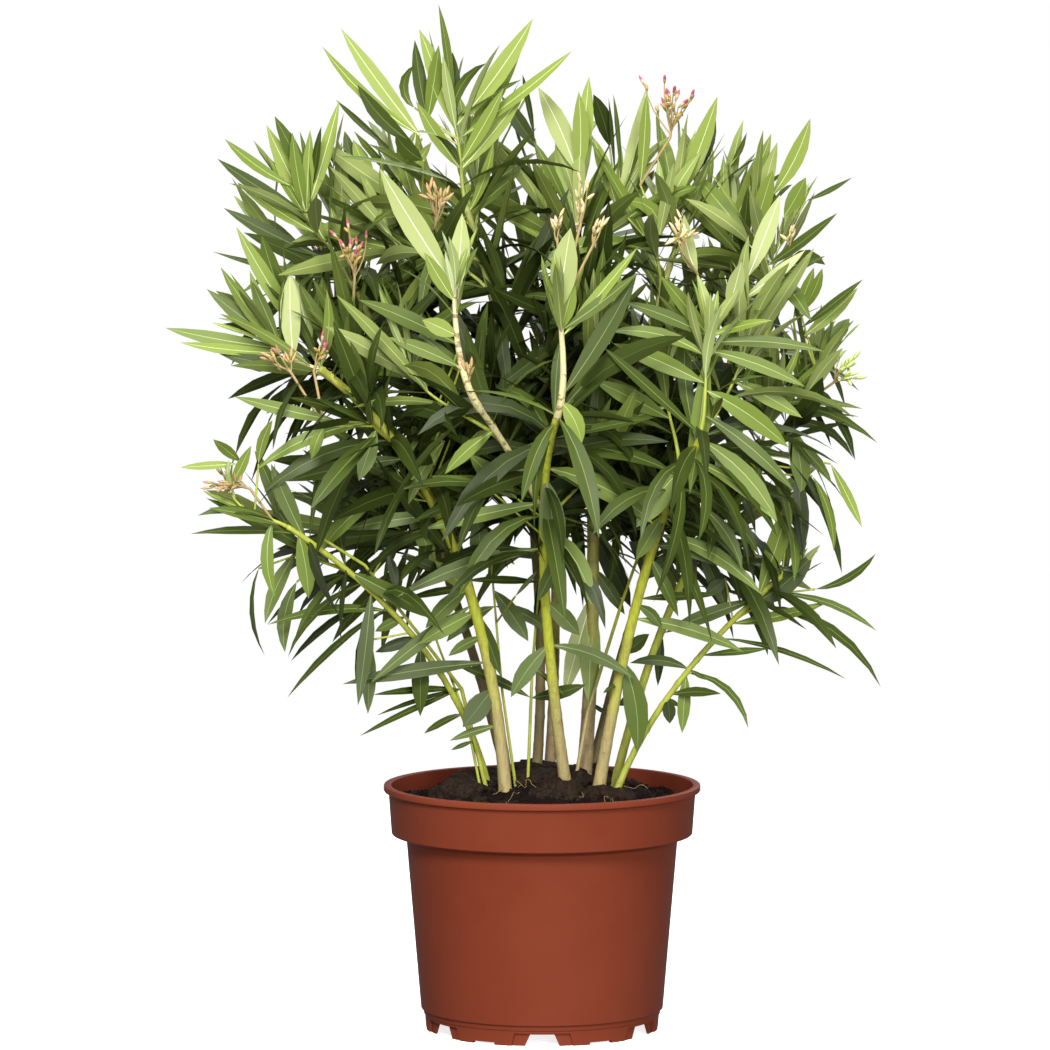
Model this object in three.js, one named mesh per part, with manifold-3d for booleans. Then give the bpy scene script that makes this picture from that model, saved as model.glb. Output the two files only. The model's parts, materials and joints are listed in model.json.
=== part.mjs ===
// Potted oleander: a clump of canes in a round nursery pot, with its leafy shoots as closed solids.
// Millimetres, +Z up. Everything is drawn about the pot's own axis with the floor at z = 0, and the
// finished plant is then moved sideways, so that the origin lies under the middle of the whole plant.
import * as THREE from "three";
import { mergeVertices } from "three/addons/utils/BufferGeometryUtils.js";
import Module from "manifold-3d";

const wasm = await Module();
wasm.setup();

// ---- Driving dimensions ----

const seat = 0.35; // clearance between two pieces that touch
const weld = 1e-3; // vertices closer than this are one

const pot = {
  height: 202,
  facets: 36,
  lipRadius: 130,
  lipDepth: 6,
  lipRound: 1.7,
  bandTopRadius: 126.2,
  bandBottomRadius: 123.7,
  bandBottom: 161.8,
  bandRound: 1.1,
  shoulderRadius: 111.6,
  shoulderHeight: 157.8,
  ridgeRadius: 99.6,
  ridgeHeight: 17.2,
  ridgeDepth: 1.4,
  footTopRadius: 96.8,
  footRadius: 95.5,
  wall: 2.3,
  floorUnderside: 10.2,
  floorFillet: 2,
};

const footCuts = {
  count: 6,
  notch: { halfTop: 9.8, halfBottom: 15, height: 9.5 },
  recess: { halfTop: 10, halfBottom: 10, height: 2 },
  reach: 30,
  below: 1,
};

const drain = { count: 6, radius: 6, ring: 62, facets: 10, length: 10 };

const soil = { level: 198, edgeLevel: 189, flatRadius: 78, brokenRadius: 100, roughness: 2.2, seed: 7 };

const limb = { sides: 7, steps: 8, flareLength: 12 };

// Stems rise from the soil: foot is where one stands, knee steers its bend, head is its upper end.
// girth holds the diameters at the foot and at the head, and how far the root flare stands out.
const stems = {
  stem_front_left: { foot: [-30, -25], knee: [-47, -47, 448], head: [-180, -60, 548], girth: [10, 6.5, 3] },
  stem_back_left: { foot: [-27, 22], knee: [-58, 44, 430], head: [-165, 46, 628], girth: [7, 5, 2] },
  stem_low_left: { foot: [-44, 6], knee: [-73, -29, 330], head: [-206, -74, 421], girth: [5.5, 4.5, 1.5] },
  stem_middle: { foot: [-5, 40], knee: [14, 36, 430], head: [-62, 20, 675], girth: [8.5, 5.5, 2.5] },
  stem_centre: { foot: [20, -12], knee: [-14, -70, 440], head: [12, -135, 515], girth: [9.5, 6, 3] },
  stem_thick: { foot: [34, 26], knee: [52, 38, 400], head: [30, 45, 625], girth: [13, 7, 3] },
  stem_front_right: { foot: [46, -18], knee: [82, -44, 424], head: [128, -120, 497], girth: [10, 6, 3] },
  stem_right: { foot: [60, 22], knee: [109, 24, 410], head: [208, -8, 505], girth: [7.5, 5, 2] },
  stem_far_right: { foot: [62, 0], knee: [98, -2, 290], head: [196, -10, 375], girth: [5.5, 4.5, 1.5] },
  stem_rear_left: { foot: [-28, 50], knee: [-80, 110, 400], head: [-146, 130, 505], girth: [8.5, 5, 2.5] },
  stem_back: { foot: [6, 62], knee: [18, 130, 380], head: [4, 182, 440], girth: [9, 5.5, 2.5] },
  stem_rear_right: { foot: [40, 56], knee: [88, 110, 400], head: [146, 132, 505], girth: [8.5, 5, 2.5] },
};

// Boughs leave a stem at a share of its length.
const boughs = {
  bough_front_left: { from: "stem_centre", at: 0.62, knee: [-22, -105, 480], head: [-50, -150, 522], girth: [6, 5] },
  bough_top_right: { from: "stem_thick", at: 0.55, knee: [70, 46, 520], head: [106, 45, 628], girth: [7, 5] },
  bough_upper_right: { from: "stem_right", at: 0.6, knee: [172, 14, 520], head: [194, 4, 612], girth: [6, 5] },
  bough_back_top: { from: "stem_back", at: 0.6, knee: [16, 148, 480], head: [-8, 142, 600], girth: [6.5, 5] },
};

const foliage = {
  rings: 8,
  segments: 10,
  gap: 0.6,
  hollow: 0.6,
  uneven: 0.2,
};

// Each mass is the leaf cluster of one shoot: centre and half sizes of its box, how far its top leans
// over to +X for each millimetre of height, and how much it widens upwards.
const masses = {
  leaves_top_left: { centre: [-90, 10, 747], half: [89, 85, 95], lean: -0.1, widen: 0.45 },
  leaves_upper_left: { centre: [-200, 40, 678], half: [67, 85, 80], lean: -0.45, widen: 0.2 },
  leaves_left: { centre: [-231, -60, 576], half: [75, 80, 86], lean: -0.4, widen: 0.1 },
  leaves_low_left: { centre: [-226, -75, 396], half: [67, 80, 116], lean: -0.1, widen: -0.15 },
  leaves_front_left: { centre: [-77, -150, 602], half: [53, 92, 113], lean: -0.25, widen: 0.2 },
  leaves_front_centre: { centre: [21, -155, 596], half: [48, 92, 107], lean: 0.1, widen: 0.2 },
  leaves_front_right: { centre: [133, -130, 577], half: [65, 95, 114], lean: 0.1, widen: 0.25 },
  leaves_top_centre: { centre: [23, 45, 696], half: [58, 80, 99], lean: 0, widen: 0.35 },
  leaves_top_right: { centre: [109, 45, 690], half: [41, 75, 92], lean: 0, widen: 0.35 },
  leaves_upper_right: { centre: [199, 0, 666], half: [62, 90, 82], lean: 0.4, widen: 0.3 },
  leaves_right: { centre: [233, -15, 540], half: [47, 85, 78], lean: 0.3, widen: 0.15 },
  leaves_far_right: { centre: [223, -15, 384], half: [57, 95, 103], lean: -0.2, widen: -0.2 },
  leaves_low_right: { centre: [132, -50, 341], half: [53, 80, 100], lean: 0.1, widen: -0.1 },
  leaves_low_front: { centre: [10, -125, 419], half: [68, 80, 84], lean: 0, widen: -0.1 },
  leaves_low_middle_left: { centre: [-109, -50, 357], half: [59, 80, 108], lean: 0.1, widen: -0.1 },
  leaves_inner: { centre: [7, 20, 495], half: [122, 80, 111], lean: 0, widen: 0 },
  leaves_back_top: { centre: [-15, 150, 650], half: [95, 80, 95], lean: 0, widen: 0.3 },
  leaves_back_left: { centre: [-165, 140, 545], half: [95, 85, 95], lean: -0.3, widen: 0.15 },
  leaves_back_right: { centre: [160, 135, 555], half: [92, 85, 100], lean: 0.3, widen: 0.15 },
  leaves_back: { centre: [0, 180, 455], half: [90, 72, 100], lean: 0, widen: 0.1 },
  leaves_back_low_left: { centre: [-135, 130, 375], half: [85, 90, 95], lean: -0.1, widen: -0.15 },
  leaves_back_low_right: { centre: [130, 130, 370], half: [85, 90, 95], lean: 0.1, widen: -0.15 },
};

const finishes = {
  pot: { color: 0x9a4b38, roughness: 0.5, metalness: 0 },
  soil: { color: 0x2b2019, roughness: 0.95, metalness: 0 },
  stem: { color: 0xa08f5c, roughness: 0.7, metalness: 0 },
  bough: { color: 0xb3ad62, roughness: 0.65, metalness: 0 },
  leaves: { color: 0x5c7a35, roughness: 0.5, metalness: 0 },
};

// ---- Solids and geometries ----

// A closed geometry as a solid: only its positions are kept, so that shared vertices merge.
function toSolid(geometry) {
  const merged = mergedPositions(geometry);
  const mesh = new wasm.Mesh({
    numProp: 3,
    vertProperties: merged.attributes.position.array,
    triVerts: new Uint32Array(merged.index.array),
  });
  return new wasm.Manifold(mesh);
}

function mergedPositions(geometry) {
  const bare = geometry.clone();
  bare.deleteAttribute("normal");
  bare.deleteAttribute("uv");
  return mergeVertices(bare, weld);
}

// The largest body of a solid as a geometry: crumbs that a cut leaves loose are dropped.
function toGeometry(solid) {
  const bodies = solid.decompose().sort((a, b) => b.volume() - a.volume());
  const mesh = bodies[0].getMesh();
  const geometry = new THREE.BufferGeometry();
  geometry.setAttribute("position", new THREE.BufferAttribute(mesh.vertProperties, mesh.numProp));
  geometry.setIndex(new THREE.BufferAttribute(mesh.triVerts, 1));
  geometry.computeVertexNormals();
  return geometry;
}

function namedMesh(name, solid, finish) {
  const mesh = new THREE.Mesh(toGeometry(solid), new THREE.MeshStandardMaterial(finish));
  mesh.name = name;
  return mesh;
}

// A repeatable uneven number from -1 to 1 for a place in a grid.
function unevenness(seed, i, j) {
  let mixed = Math.imul(seed + 1, 73856093) ^ Math.imul(i + 1, 19349663) ^ Math.imul(j + 1, 83492791);
  mixed = Math.imul(mixed ^ (mixed >>> 15), 0x2c1b3c6d);
  mixed = Math.imul(mixed ^ (mixed >>> 12), 0x297a2d39);
  return ((mixed ^ (mixed >>> 15)) >>> 0) / 2 ** 31 - 1;
}

// ---- Pot ----

// The pot's section from the middle of the floor's underside, up the outside and down the inside.
function potProfile() {
  const { wall, lipRound, bandRound } = pot;
  const lipBottom = pot.height - pot.lipDepth;
  return [
    [0, pot.floorUnderside],
    [pot.footRadius - 2 * wall, pot.floorUnderside],
    [pot.footRadius - 1.5 * wall, 0],
    [pot.footRadius, 0],
    [pot.footTopRadius, pot.ridgeHeight - pot.ridgeDepth],
    [pot.ridgeRadius, pot.ridgeHeight],
    [pot.shoulderRadius, pot.shoulderHeight],
    [pot.bandBottomRadius - bandRound, pot.bandBottom - bandRound],
    [pot.bandBottomRadius, pot.bandBottom],
    [pot.bandTopRadius, lipBottom],
    [pot.lipRadius, lipBottom + lipRound / 2],
    [pot.lipRadius, pot.height - lipRound],
    [pot.lipRadius - lipRound, pot.height],
    ...innerProfile(0).reverse(),
  ];
}

// The inside of the pot from the middle of its floor up to the lip, taken in by a clearance.
function innerProfile(clearance) {
  const inset = pot.wall + clearance;
  const floorTop = pot.floorUnderside + inset;
  return [
    [0, floorTop],
    [pot.ridgeRadius - inset - pot.floorFillet, floorTop],
    [pot.shoulderRadius - inset, pot.shoulderHeight + inset],
    [pot.bandBottomRadius - inset, pot.bandBottom + inset],
    [pot.bandTopRadius - inset, pot.height - pot.lipRound],
  ];
}

function turned(profile) {
  const outline = profile.map(([radius, height]) => new THREE.Vector2(radius, height));
  return new THREE.LatheGeometry(outline, pot.facets).rotateX(Math.PI / 2);
}

// A cutter through the foot ring: a trapezoid that widens downwards, pushed out along -Y and turned
// about the pot's axis.
function footCutter({ halfTop, halfBottom, height }, turn) {
  const { reach: depth, below } = footCuts;
  const shape = new THREE.Shape();
  shape.moveTo(-halfBottom, -below);
  shape.lineTo(halfBottom, -below);
  shape.lineTo(halfTop, height);
  shape.lineTo(-halfTop, height);
  shape.closePath();
  const cutter = new THREE.ExtrudeGeometry(shape, { depth, bevelEnabled: false });
  cutter.rotateX(Math.PI / 2);
  cutter.translate(0, -(pot.footRadius - depth / 2), 0);
  cutter.rotateZ(turn);
  return toSolid(cutter);
}

function makePot() {
  let body = toSolid(turned(potProfile()));
  for (let i = 0; i < footCuts.count; i++) {
    const turn = (i * 2 * Math.PI) / footCuts.count;
    body = body.subtract(footCutter(footCuts.notch, turn));
    body = body.subtract(footCutter(footCuts.recess, turn + Math.PI / footCuts.count));
  }
  for (let i = 0; i < drain.count; i++) {
    const turn = ((i + 0.5) * 2 * Math.PI) / drain.count;
    const hole = new THREE.CylinderGeometry(drain.radius, drain.radius, drain.length, drain.facets);
    hole.rotateX(Math.PI / 2);
    hole.translate(drain.ring * Math.cos(turn), drain.ring * Math.sin(turn), pot.floorUnderside);
    body = body.subtract(toSolid(hole));
  }
  return namedMesh("pot", body, finishes.pot);
}

// ---- Soil ----

// Soil fills the pot, flat where the stems stand and crumbly towards the wall.
function makeSoil() {
  const sides = innerProfile(seat).slice(0, 4);
  const edgeRadius = pot.bandBottomRadius - pot.wall - seat;
  const profile = [
    ...sides,
    [edgeRadius, soil.edgeLevel],
    [soil.brokenRadius, (soil.level + soil.edgeLevel) / 2],
    [soil.flatRadius, soil.level],
    [0, soil.level],
  ];
  const geometry = mergedPositions(turned(profile));
  const place = geometry.attributes.position;
  for (let i = 0; i < place.count; i++) {
    const radius = Math.hypot(place.getX(i), place.getY(i));
    const facet = Math.round((Math.atan2(place.getY(i), place.getX(i)) * pot.facets) / (2 * Math.PI));
    const rise = soil.roughness * unevenness(soil.seed, facet, Math.round(radius));
    const broken = radius > soil.flatRadius + weld && place.getZ(i) > soil.edgeLevel - weld;
    if (broken) place.setZ(i, place.getZ(i) + rise);
  }
  return namedMesh("soil", toSolid(geometry), finishes.soil);
}

// ---- Stems and boughs ----

function limbCurve({ foot, knee, head }) {
  const points = [foot, knee, head].map((point) => new THREE.Vector3(...point));
  return new THREE.QuadraticBezierCurve3(...points);
}

// A cylinder bent along the limb's curve and tapered. swell makes the wider copy that cuts a seat in
// whatever the limb runs through, and a limb on the ground ends in a flat cut there.
function limbSolid(plan, swell = 0) {
  const [base, tip, flare = 0] = plan.girth;
  const curve = limbCurve(plan);
  const length = curve.getLength();
  const frames = curve.computeFrenetFrames(limb.steps);
  const tube = mergedPositions(new THREE.CylinderGeometry(1, 1, 1, limb.sides, limb.steps));
  const place = tube.attributes.position;
  for (let i = 0; i < place.count; i++) {
    const along = place.getY(i) + 0.5;
    const step = Math.round(along * limb.steps);
    const rootFlare = flare * Math.exp((-along * length) / limb.flareLength);
    const radius = THREE.MathUtils.lerp(base, tip, along) / 2 + rootFlare + swell;
    const point = curve.getPointAt(along);
    point.addScaledVector(frames.normals[step], place.getX(i) * radius);
    point.addScaledVector(frames.binormals[step], -place.getZ(i) * radius);
    if (step === 0) point.addScaledVector(frames.tangents[step], -swell);
    if (step === limb.steps) point.addScaledVector(frames.tangents[step], swell);
    if (step === 0 && plan.grounded) point.z = soil.level + seat - swell;
    place.setXYZ(i, point.x, point.y, point.z);
  }
  return toSolid(tube);
}

function limbPlans() {
  const plans = {};
  for (const [name, plan] of Object.entries(stems)) {
    plans[name] = { ...plan, foot: [...plan.foot, soil.level + seat], grounded: true };
  }
  for (const [name, plan] of Object.entries(boughs)) {
    const foot = limbCurve(plans[plan.from]).getPointAt(plan.at).toArray();
    plans[name] = { ...plan, foot };
  }
  return plans;
}

function makeLimb(name, plans) {
  const plan = plans[name];
  const whole = limbSolid(plan);
  if (!plan.from) return namedMesh(name, whole, finishes.stem);
  return namedMesh(name, whole.subtract(limbSolid(plans[plan.from], seat)), finishes.bough);
}

// ---- Foliage ----

// How far an ellipsoid with these half sizes reaches along a direction.
function reach(half, direction) {
  return Math.hypot(half[0] * direction.x, half[1] * direction.y, half[2] * direction.z);
}

// The planes that part a mass from every other mass, each set between the two centres in proportion
// to their sizes.
function partingPlanes(name) {
  const own = masses[name];
  const centre = new THREE.Vector3(...own.centre);
  return Object.keys(masses)
    .filter((other) => other !== name)
    .map((other) => {
      const normal = new THREE.Vector3(...masses[other].centre).sub(centre);
      const apart = normal.length();
      normal.normalize();
      const ownReach = reach(own.half, normal);
      const share = ownReach / (ownReach + reach(masses[other].half, normal));
      return { normal, distance: share * apart - foliage.gap / 2 };
    });
}

// An uneven solid of leaf whorls: on each ring of a sphere every second vertex stands out as a leaf
// and the one beside it lies back, turned by one place from ring to ring. It is fitted to its box,
// leaned, and pulled in behind the planes that part it from its neighbours.
function massSolid(name, seed) {
  const { centre, half, lean, widen } = masses[name];
  const sphere = mergedPositions(new THREE.SphereGeometry(1, foliage.segments, foliage.rings));
  sphere.rotateX(Math.PI / 2);
  const place = sphere.attributes.position;
  const point = new THREE.Vector3();
  for (let i = 0; i < place.count; i++) {
    point.fromBufferAttribute(place, i);
    const ring = Math.round((Math.acos(point.z) * foliage.rings) / Math.PI);
    const pole = ring === 0 || ring === foliage.rings;
    const around = Math.round((Math.atan2(point.y, point.x) * foliage.segments) / (2 * Math.PI));
    const segment = pole ? 0 : (around + foliage.segments) % foliage.segments;
    const stretch = 1 + foliage.uneven * unevenness(seed, ring, segment);
    const lyingBack = !pole && (ring + segment) % 2 === 1;
    point.multiplyScalar(lyingBack ? foliage.hollow * stretch : stretch);
    point.x *= 1 + widen * point.z;
    point.y *= 1 + widen * point.z;
    point.x += (lean * point.z * half[2]) / half[0];
    place.setXYZ(i, point.x, point.y, point.z);
  }
  fitToBox(sphere, half);
  const planes = partingPlanes(name);
  for (let i = 0; i < place.count; i++) {
    point.fromBufferAttribute(place, i);
    for (const { normal, distance } of planes) {
      const out = point.dot(normal);
      if (out > distance) point.multiplyScalar(distance / out);
    }
    place.setXYZ(i, point.x + centre[0], point.y + centre[1], point.z + centre[2]);
  }
  return toSolid(sphere);
}

// Stretches a geometry about its own box so that it fills one with these half sizes, centred on zero.
function fitToBox(geometry, half) {
  geometry.computeBoundingBox();
  const middle = geometry.boundingBox.getCenter(new THREE.Vector3());
  const size = geometry.boundingBox.getSize(new THREE.Vector3());
  geometry.translate(-middle.x, -middle.y, -middle.z);
  geometry.scale((2 * half[0]) / size.x, (2 * half[1]) / size.y, (2 * half[2]) / size.z);
}

function makeMass(name, seed, plans) {
  let body = massSolid(name, seed);
  for (const plan of Object.values(plans)) {
    body = body.subtract(limbSolid(plan, seat));
  }
  return namedMesh(name, body, finishes.leaves);
}

// ---- The plant ----

const plans = limbPlans();
const canes = new THREE.Group();
canes.add(...Object.keys(plans).map((name) => makeLimb(name, plans)));

const crown = new THREE.Group();
crown.add(...Object.keys(masses).map((name, seed) => makeMass(name, seed, plans)));

const plant = new THREE.Group();
plant.add(makePot(), makeSoil(), canes, crown);

const middle = new THREE.Box3().setFromObject(plant).getCenter(new THREE.Vector3());
plant.position.set(-middle.x, -middle.y, 0);

export default plant;
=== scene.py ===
import json
import math
import random

import bmesh
import bpy
import numpy as np
from mathutils import Matrix, Vector, noise

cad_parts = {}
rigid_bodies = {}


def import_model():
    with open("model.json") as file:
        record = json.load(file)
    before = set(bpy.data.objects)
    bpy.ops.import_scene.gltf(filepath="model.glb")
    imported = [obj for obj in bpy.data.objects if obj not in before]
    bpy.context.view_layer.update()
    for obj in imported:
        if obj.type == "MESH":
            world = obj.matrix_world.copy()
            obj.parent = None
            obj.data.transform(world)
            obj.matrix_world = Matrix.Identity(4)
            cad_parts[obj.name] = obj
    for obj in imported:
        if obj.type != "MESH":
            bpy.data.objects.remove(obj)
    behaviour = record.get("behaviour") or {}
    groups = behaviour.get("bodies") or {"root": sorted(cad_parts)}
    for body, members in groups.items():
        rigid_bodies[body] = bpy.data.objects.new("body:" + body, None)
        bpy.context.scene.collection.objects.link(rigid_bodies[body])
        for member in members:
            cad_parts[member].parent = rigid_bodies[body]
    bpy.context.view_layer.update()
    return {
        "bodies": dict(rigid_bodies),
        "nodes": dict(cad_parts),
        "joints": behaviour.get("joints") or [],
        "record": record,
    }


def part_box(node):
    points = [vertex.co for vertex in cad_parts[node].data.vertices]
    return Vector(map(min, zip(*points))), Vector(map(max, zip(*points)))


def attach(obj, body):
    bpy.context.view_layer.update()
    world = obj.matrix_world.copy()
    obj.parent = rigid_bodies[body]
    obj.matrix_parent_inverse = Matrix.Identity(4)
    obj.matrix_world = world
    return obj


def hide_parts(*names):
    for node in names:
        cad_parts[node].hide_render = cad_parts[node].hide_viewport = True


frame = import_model()

mm = 0.001
up = Vector((0, 0, 1))
potLow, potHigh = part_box("pot")
potAxis = Vector(((potLow.x + potHigh.x) / 2, (potLow.y + potHigh.y) / 2, potLow.z))


def place(point):
    # a point given in millimetres about the pot's axis
    return potAxis + Vector(point) * mm


# camera: its place and lens in millimetres, its tilt in degrees and its clipping in metres
camera = {"aside": -14, "away": 5333, "height": 896.5, "down": 5.1515, "lens": 224.17, "sensor": 36,
          "clip": (0.1, 200)}
eye = Vector((camera["aside"], -camera["away"], camera["height"]))


def makeCamera():
    data = bpy.data.cameras.new("camera")
    data.lens, data.sensor_width = camera["lens"], camera["sensor"]
    data.clip_start, data.clip_end = camera["clip"]
    body = bpy.data.objects.new("camera", data)
    body.location = place(eye)
    body.rotation_euler = (math.radians(90 - camera["down"]), 0, 0)
    bpy.context.scene.collection.objects.link(body)
    bpy.context.scene.camera = body


makeCamera()
print("camera placed")


# small helpers
def linear(tint):
    # "#rrggbb" as the linear colour that the shaders take
    parts = [int(tint[i:i + 2], 16) / 255 for i in (1, 3, 5)]
    return tuple(c / 12.92 if c <= 0.04045 else ((c + 0.055) / 1.055) ** 2.4 for c in parts) + (1,)


def plainMaterial(name, tint, roughness, specular):
    material = bpy.data.materials.new(name)
    material.use_nodes = True
    shader = material.node_tree.nodes["Principled BSDF"]
    shader.inputs["Base Color"].default_value = linear(tint)
    shader.inputs["Roughness"].default_value = roughness
    shader.inputs["Specular IOR Level"].default_value = specular
    material.diffuse_color = linear(tint)
    return material


def addObject(name, mesh, materials):
    thing = bpy.data.objects.new(name, mesh)
    bpy.context.scene.collection.objects.link(thing)
    for material in materials:
        mesh.materials.append(material)
    return thing


def meshFrom(bm, name):
    mesh = bpy.data.meshes.new(name)
    bm.to_mesh(mesh)
    bm.free()
    return mesh


def applyModifiers(thing):
    graph = bpy.context.evaluated_depsgraph_get()
    mesh = bpy.data.meshes.new_from_object(thing.evaluated_get(graph))
    thing.modifiers.clear()
    thing.data = mesh


def finishPiece(thing, slot, *nodes):
    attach(thing, "root")
    if nodes:
        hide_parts(*nodes)


def smoothAll(bm):
    for face in bm.faces:
        face.smooth = True


# floor and light
studio = {
    "floorRadius": 1.5, "floorSteps": 96, "floorTint": "#fafaf8", "floorGlow": 0.8,
    "backdrop": 1.0, "roomLight": 0.3, "aim": 400,
    "lamps": {
        "key": {"at": (-650, -3100, 2500), "size": 1.3, "watts": 152},
        "fill": {"at": (900, -3500, 900), "size": 1.6, "watts": 102},
        "top": {"at": (-100, -500, 2700), "size": 2.2, "watts": 60},
        "back": {"at": (900, 2600, 2200), "size": 2.2, "watts": 50},
    },
}


def makeFloor():
    bm = bmesh.new()
    bmesh.ops.create_circle(bm, cap_ends=True, segments=studio["floorSteps"], radius=studio["floorRadius"])
    white = plainMaterial("floor_white", studio["floorTint"], 0.9, 0.2)
    shader = white.node_tree.nodes["Principled BSDF"]
    shader.inputs["Emission Color"].default_value = (1, 1, 1, 1)
    shader.inputs["Emission Strength"].default_value = studio["floorGlow"]
    floor = addObject("floor", meshFrom(bm, "floor"), [white])
    floor.visible_diffuse = floor.visible_glossy = False


def makeRoom():
    # an even white backdrop, with a weaker white light on the plant
    world = bpy.data.worlds.new("studio")
    world.use_nodes = True
    nodes, links = world.node_tree.nodes, world.node_tree.links
    nodes.clear()
    path, mix = nodes.new("ShaderNodeLightPath"), nodes.new("ShaderNodeMixShader")
    links.new(path.outputs["Is Camera Ray"], mix.inputs[0])
    for slot, strength in ((1, studio["roomLight"]), (2, studio["backdrop"])):
        glow = nodes.new("ShaderNodeBackground")
        glow.inputs["Color"].default_value = (1, 1, 1, 1)
        glow.inputs["Strength"].default_value = strength
        links.new(glow.outputs[0], mix.inputs[slot])
    links.new(mix.outputs[0], nodes.new("ShaderNodeOutputWorld").inputs["Surface"])
    bpy.context.scene.world = world


def makeLamps():
    middle = place((0, 0, studio["aim"]))
    for name, plan in studio["lamps"].items():
        data = bpy.data.lights.new(name, "AREA")
        data.shape, data.size, data.energy = "DISK", plan["size"], plan["watts"]
        lamp = bpy.data.objects.new(name, data)
        lamp.location = place(plan["at"])
        lamp.rotation_euler = (middle - lamp.location).to_track_quat("-Z", "Y").to_euler()
        bpy.context.scene.collection.objects.link(lamp)


makeFloor()
makeRoom()
makeLamps()
bpy.context.scene.view_settings.view_transform = "Standard"
print("floor and lights placed")


# shader groups: each gives out a colour and a height for bump
def startGroup(name, tints, numbers):
    group = bpy.data.node_groups.new(name, "ShaderNodeTree")
    for socket in tints:
        group.interface.new_socket(socket, in_out="INPUT", socket_type="NodeSocketColor")
    for socket in numbers:
        group.interface.new_socket(socket, in_out="INPUT", socket_type="NodeSocketFloat")
    group.interface.new_socket("Color", in_out="OUTPUT", socket_type="NodeSocketColor")
    group.interface.new_socket("Height", in_out="OUTPUT", socket_type="NodeSocketFloat")
    given, result = group.nodes.new("NodeGroupInput"), group.nodes.new("NodeGroupOutput")
    return group, given.outputs, result.inputs


def groupMaterial(name, group, tints, numbers, roughness, specular, bump, grain):
    # the finish of one surface: a shared group's colour and height, with this surface's own values
    material = bpy.data.materials.new(name)
    material.use_nodes = True
    nodes, links = material.node_tree.nodes, material.node_tree.links
    shader, effect = nodes["Principled BSDF"], nodes.new("ShaderNodeGroup")
    relief = nodes.new("ShaderNodeBump")
    shader.inputs["Roughness"].default_value = roughness
    shader.inputs["Specular IOR Level"].default_value = specular
    effect.node_tree = group
    for socket, tint in tints.items():
        effect.inputs[socket].default_value = linear(tint)
    for socket, number in numbers.items():
        effect.inputs[socket].default_value = number
    relief.inputs["Strength"].default_value = bump
    relief.inputs["Distance"].default_value = grain
    links.new(effect.outputs["Color"], shader.inputs["Base Color"])
    links.new(effect.outputs["Height"], relief.inputs["Height"])
    links.new(relief.outputs["Normal"], shader.inputs["Normal"])
    material.diffuse_color = linear(list(tints.values())[0])
    return material


# mottling: two tints mixed by soft noise on Object coordinates
mottleLook = {"detail": 6, "roughness": 0.6, "from": 0.3, "to": 0.7}


def makeMottleGroup():
    group, given, result = startGroup("mottle", ("Light", "Dark"), ("Scale",))
    nodes, links = group.nodes, group.links
    where, cloud = nodes.new("ShaderNodeTexCoord"), nodes.new("ShaderNodeTexNoise")
    spread, mix = nodes.new("ShaderNodeMapRange"), nodes.new("ShaderNodeMix")
    cloud.inputs["Detail"].default_value = mottleLook["detail"]
    cloud.inputs["Roughness"].default_value = mottleLook["roughness"]
    spread.inputs["From Min"].default_value = mottleLook["from"]
    spread.inputs["From Max"].default_value = mottleLook["to"]
    mix.data_type = "RGBA"
    links.new(where.outputs["Object"], cloud.inputs["Vector"])
    links.new(given["Scale"], cloud.inputs["Scale"])
    links.new(cloud.outputs["Fac"], spread.inputs["Value"])
    links.new(spread.outputs["Result"], mix.inputs["Factor"])
    links.new(given["Dark"], mix.inputs[6])
    links.new(given["Light"], mix.inputs[7])
    links.new(mix.outputs[2], result["Color"])
    links.new(cloud.outputs["Fac"], result["Height"])
    return group


mottle = makeMottleGroup()


def mottledMaterial(name, plan):
    tints = {"Light": plan["light"], "Dark": plan["dark"]}
    return groupMaterial(name, mottle, tints, {"Scale": plan["scale"]}, plan["roughness"], plan["specular"],
                         plan["bump"], plan["grain"])


# pot, in millimetres; a notch, step or panel is its half width on top, its half width below and its height
potShape = {
    "steps": 180, "wall": 2.3, "sharpAngle": 28,
    "round": 0.7, "roundSegments": 3, "roundFrom": 2, "roundAngle": 24,
    "lipDepth": 6, "lipRise": 1, "lipInside": 3,
    "bandTop": 126.2, "bandBottom": (123.7, 161.8), "shoulder": (111.6, 157.8),
    "ridge": (99.6, 17.2), "footTop": (96.8, 15.8), "foot": 95.5, "floor": 10.2,
    "notches": 6, "notch": (9.8, 15, 9.5), "step": (10, 10, 2), "panel": (22.7, 25.9, 10.6),
    "panelDepth": 1.7, "panelOutside": 12, "panelCuts": 11, "cutBelow": -2, "cutInside": 20, "cutOutside": 15,
    "holeRadius": 6, "holeRing": 62, "holeDepth": 12, "holeSteps": 24,
    "plastic": {"dark": "#70311f", "light": "#773725", "scale": 9, "roughness": 0.45, "specular": 0.05,
                "bump": 0.12, "grain": 0.0002},
}


def footCutter(bm, cut, turn, inner, outer):
    # a block that widens downwards, laid across the foot ring
    halfTop, halfBottom, height = cut
    made = bmesh.ops.create_cube(bm, size=1)["verts"]
    for v in made:
        half, z = (halfTop, height) if v.co.z > 0 else (halfBottom, potShape["cutBelow"])
        v.co = Vector((2 * v.co.x * half, -(inner + (0.5 - v.co.y) * (outer - inner)), z)) * mm
    bmesh.ops.rotate(bm, verts=made, cent=(0, 0, 0), matrix=Matrix.Rotation(turn, 3, "Z"))


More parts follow.
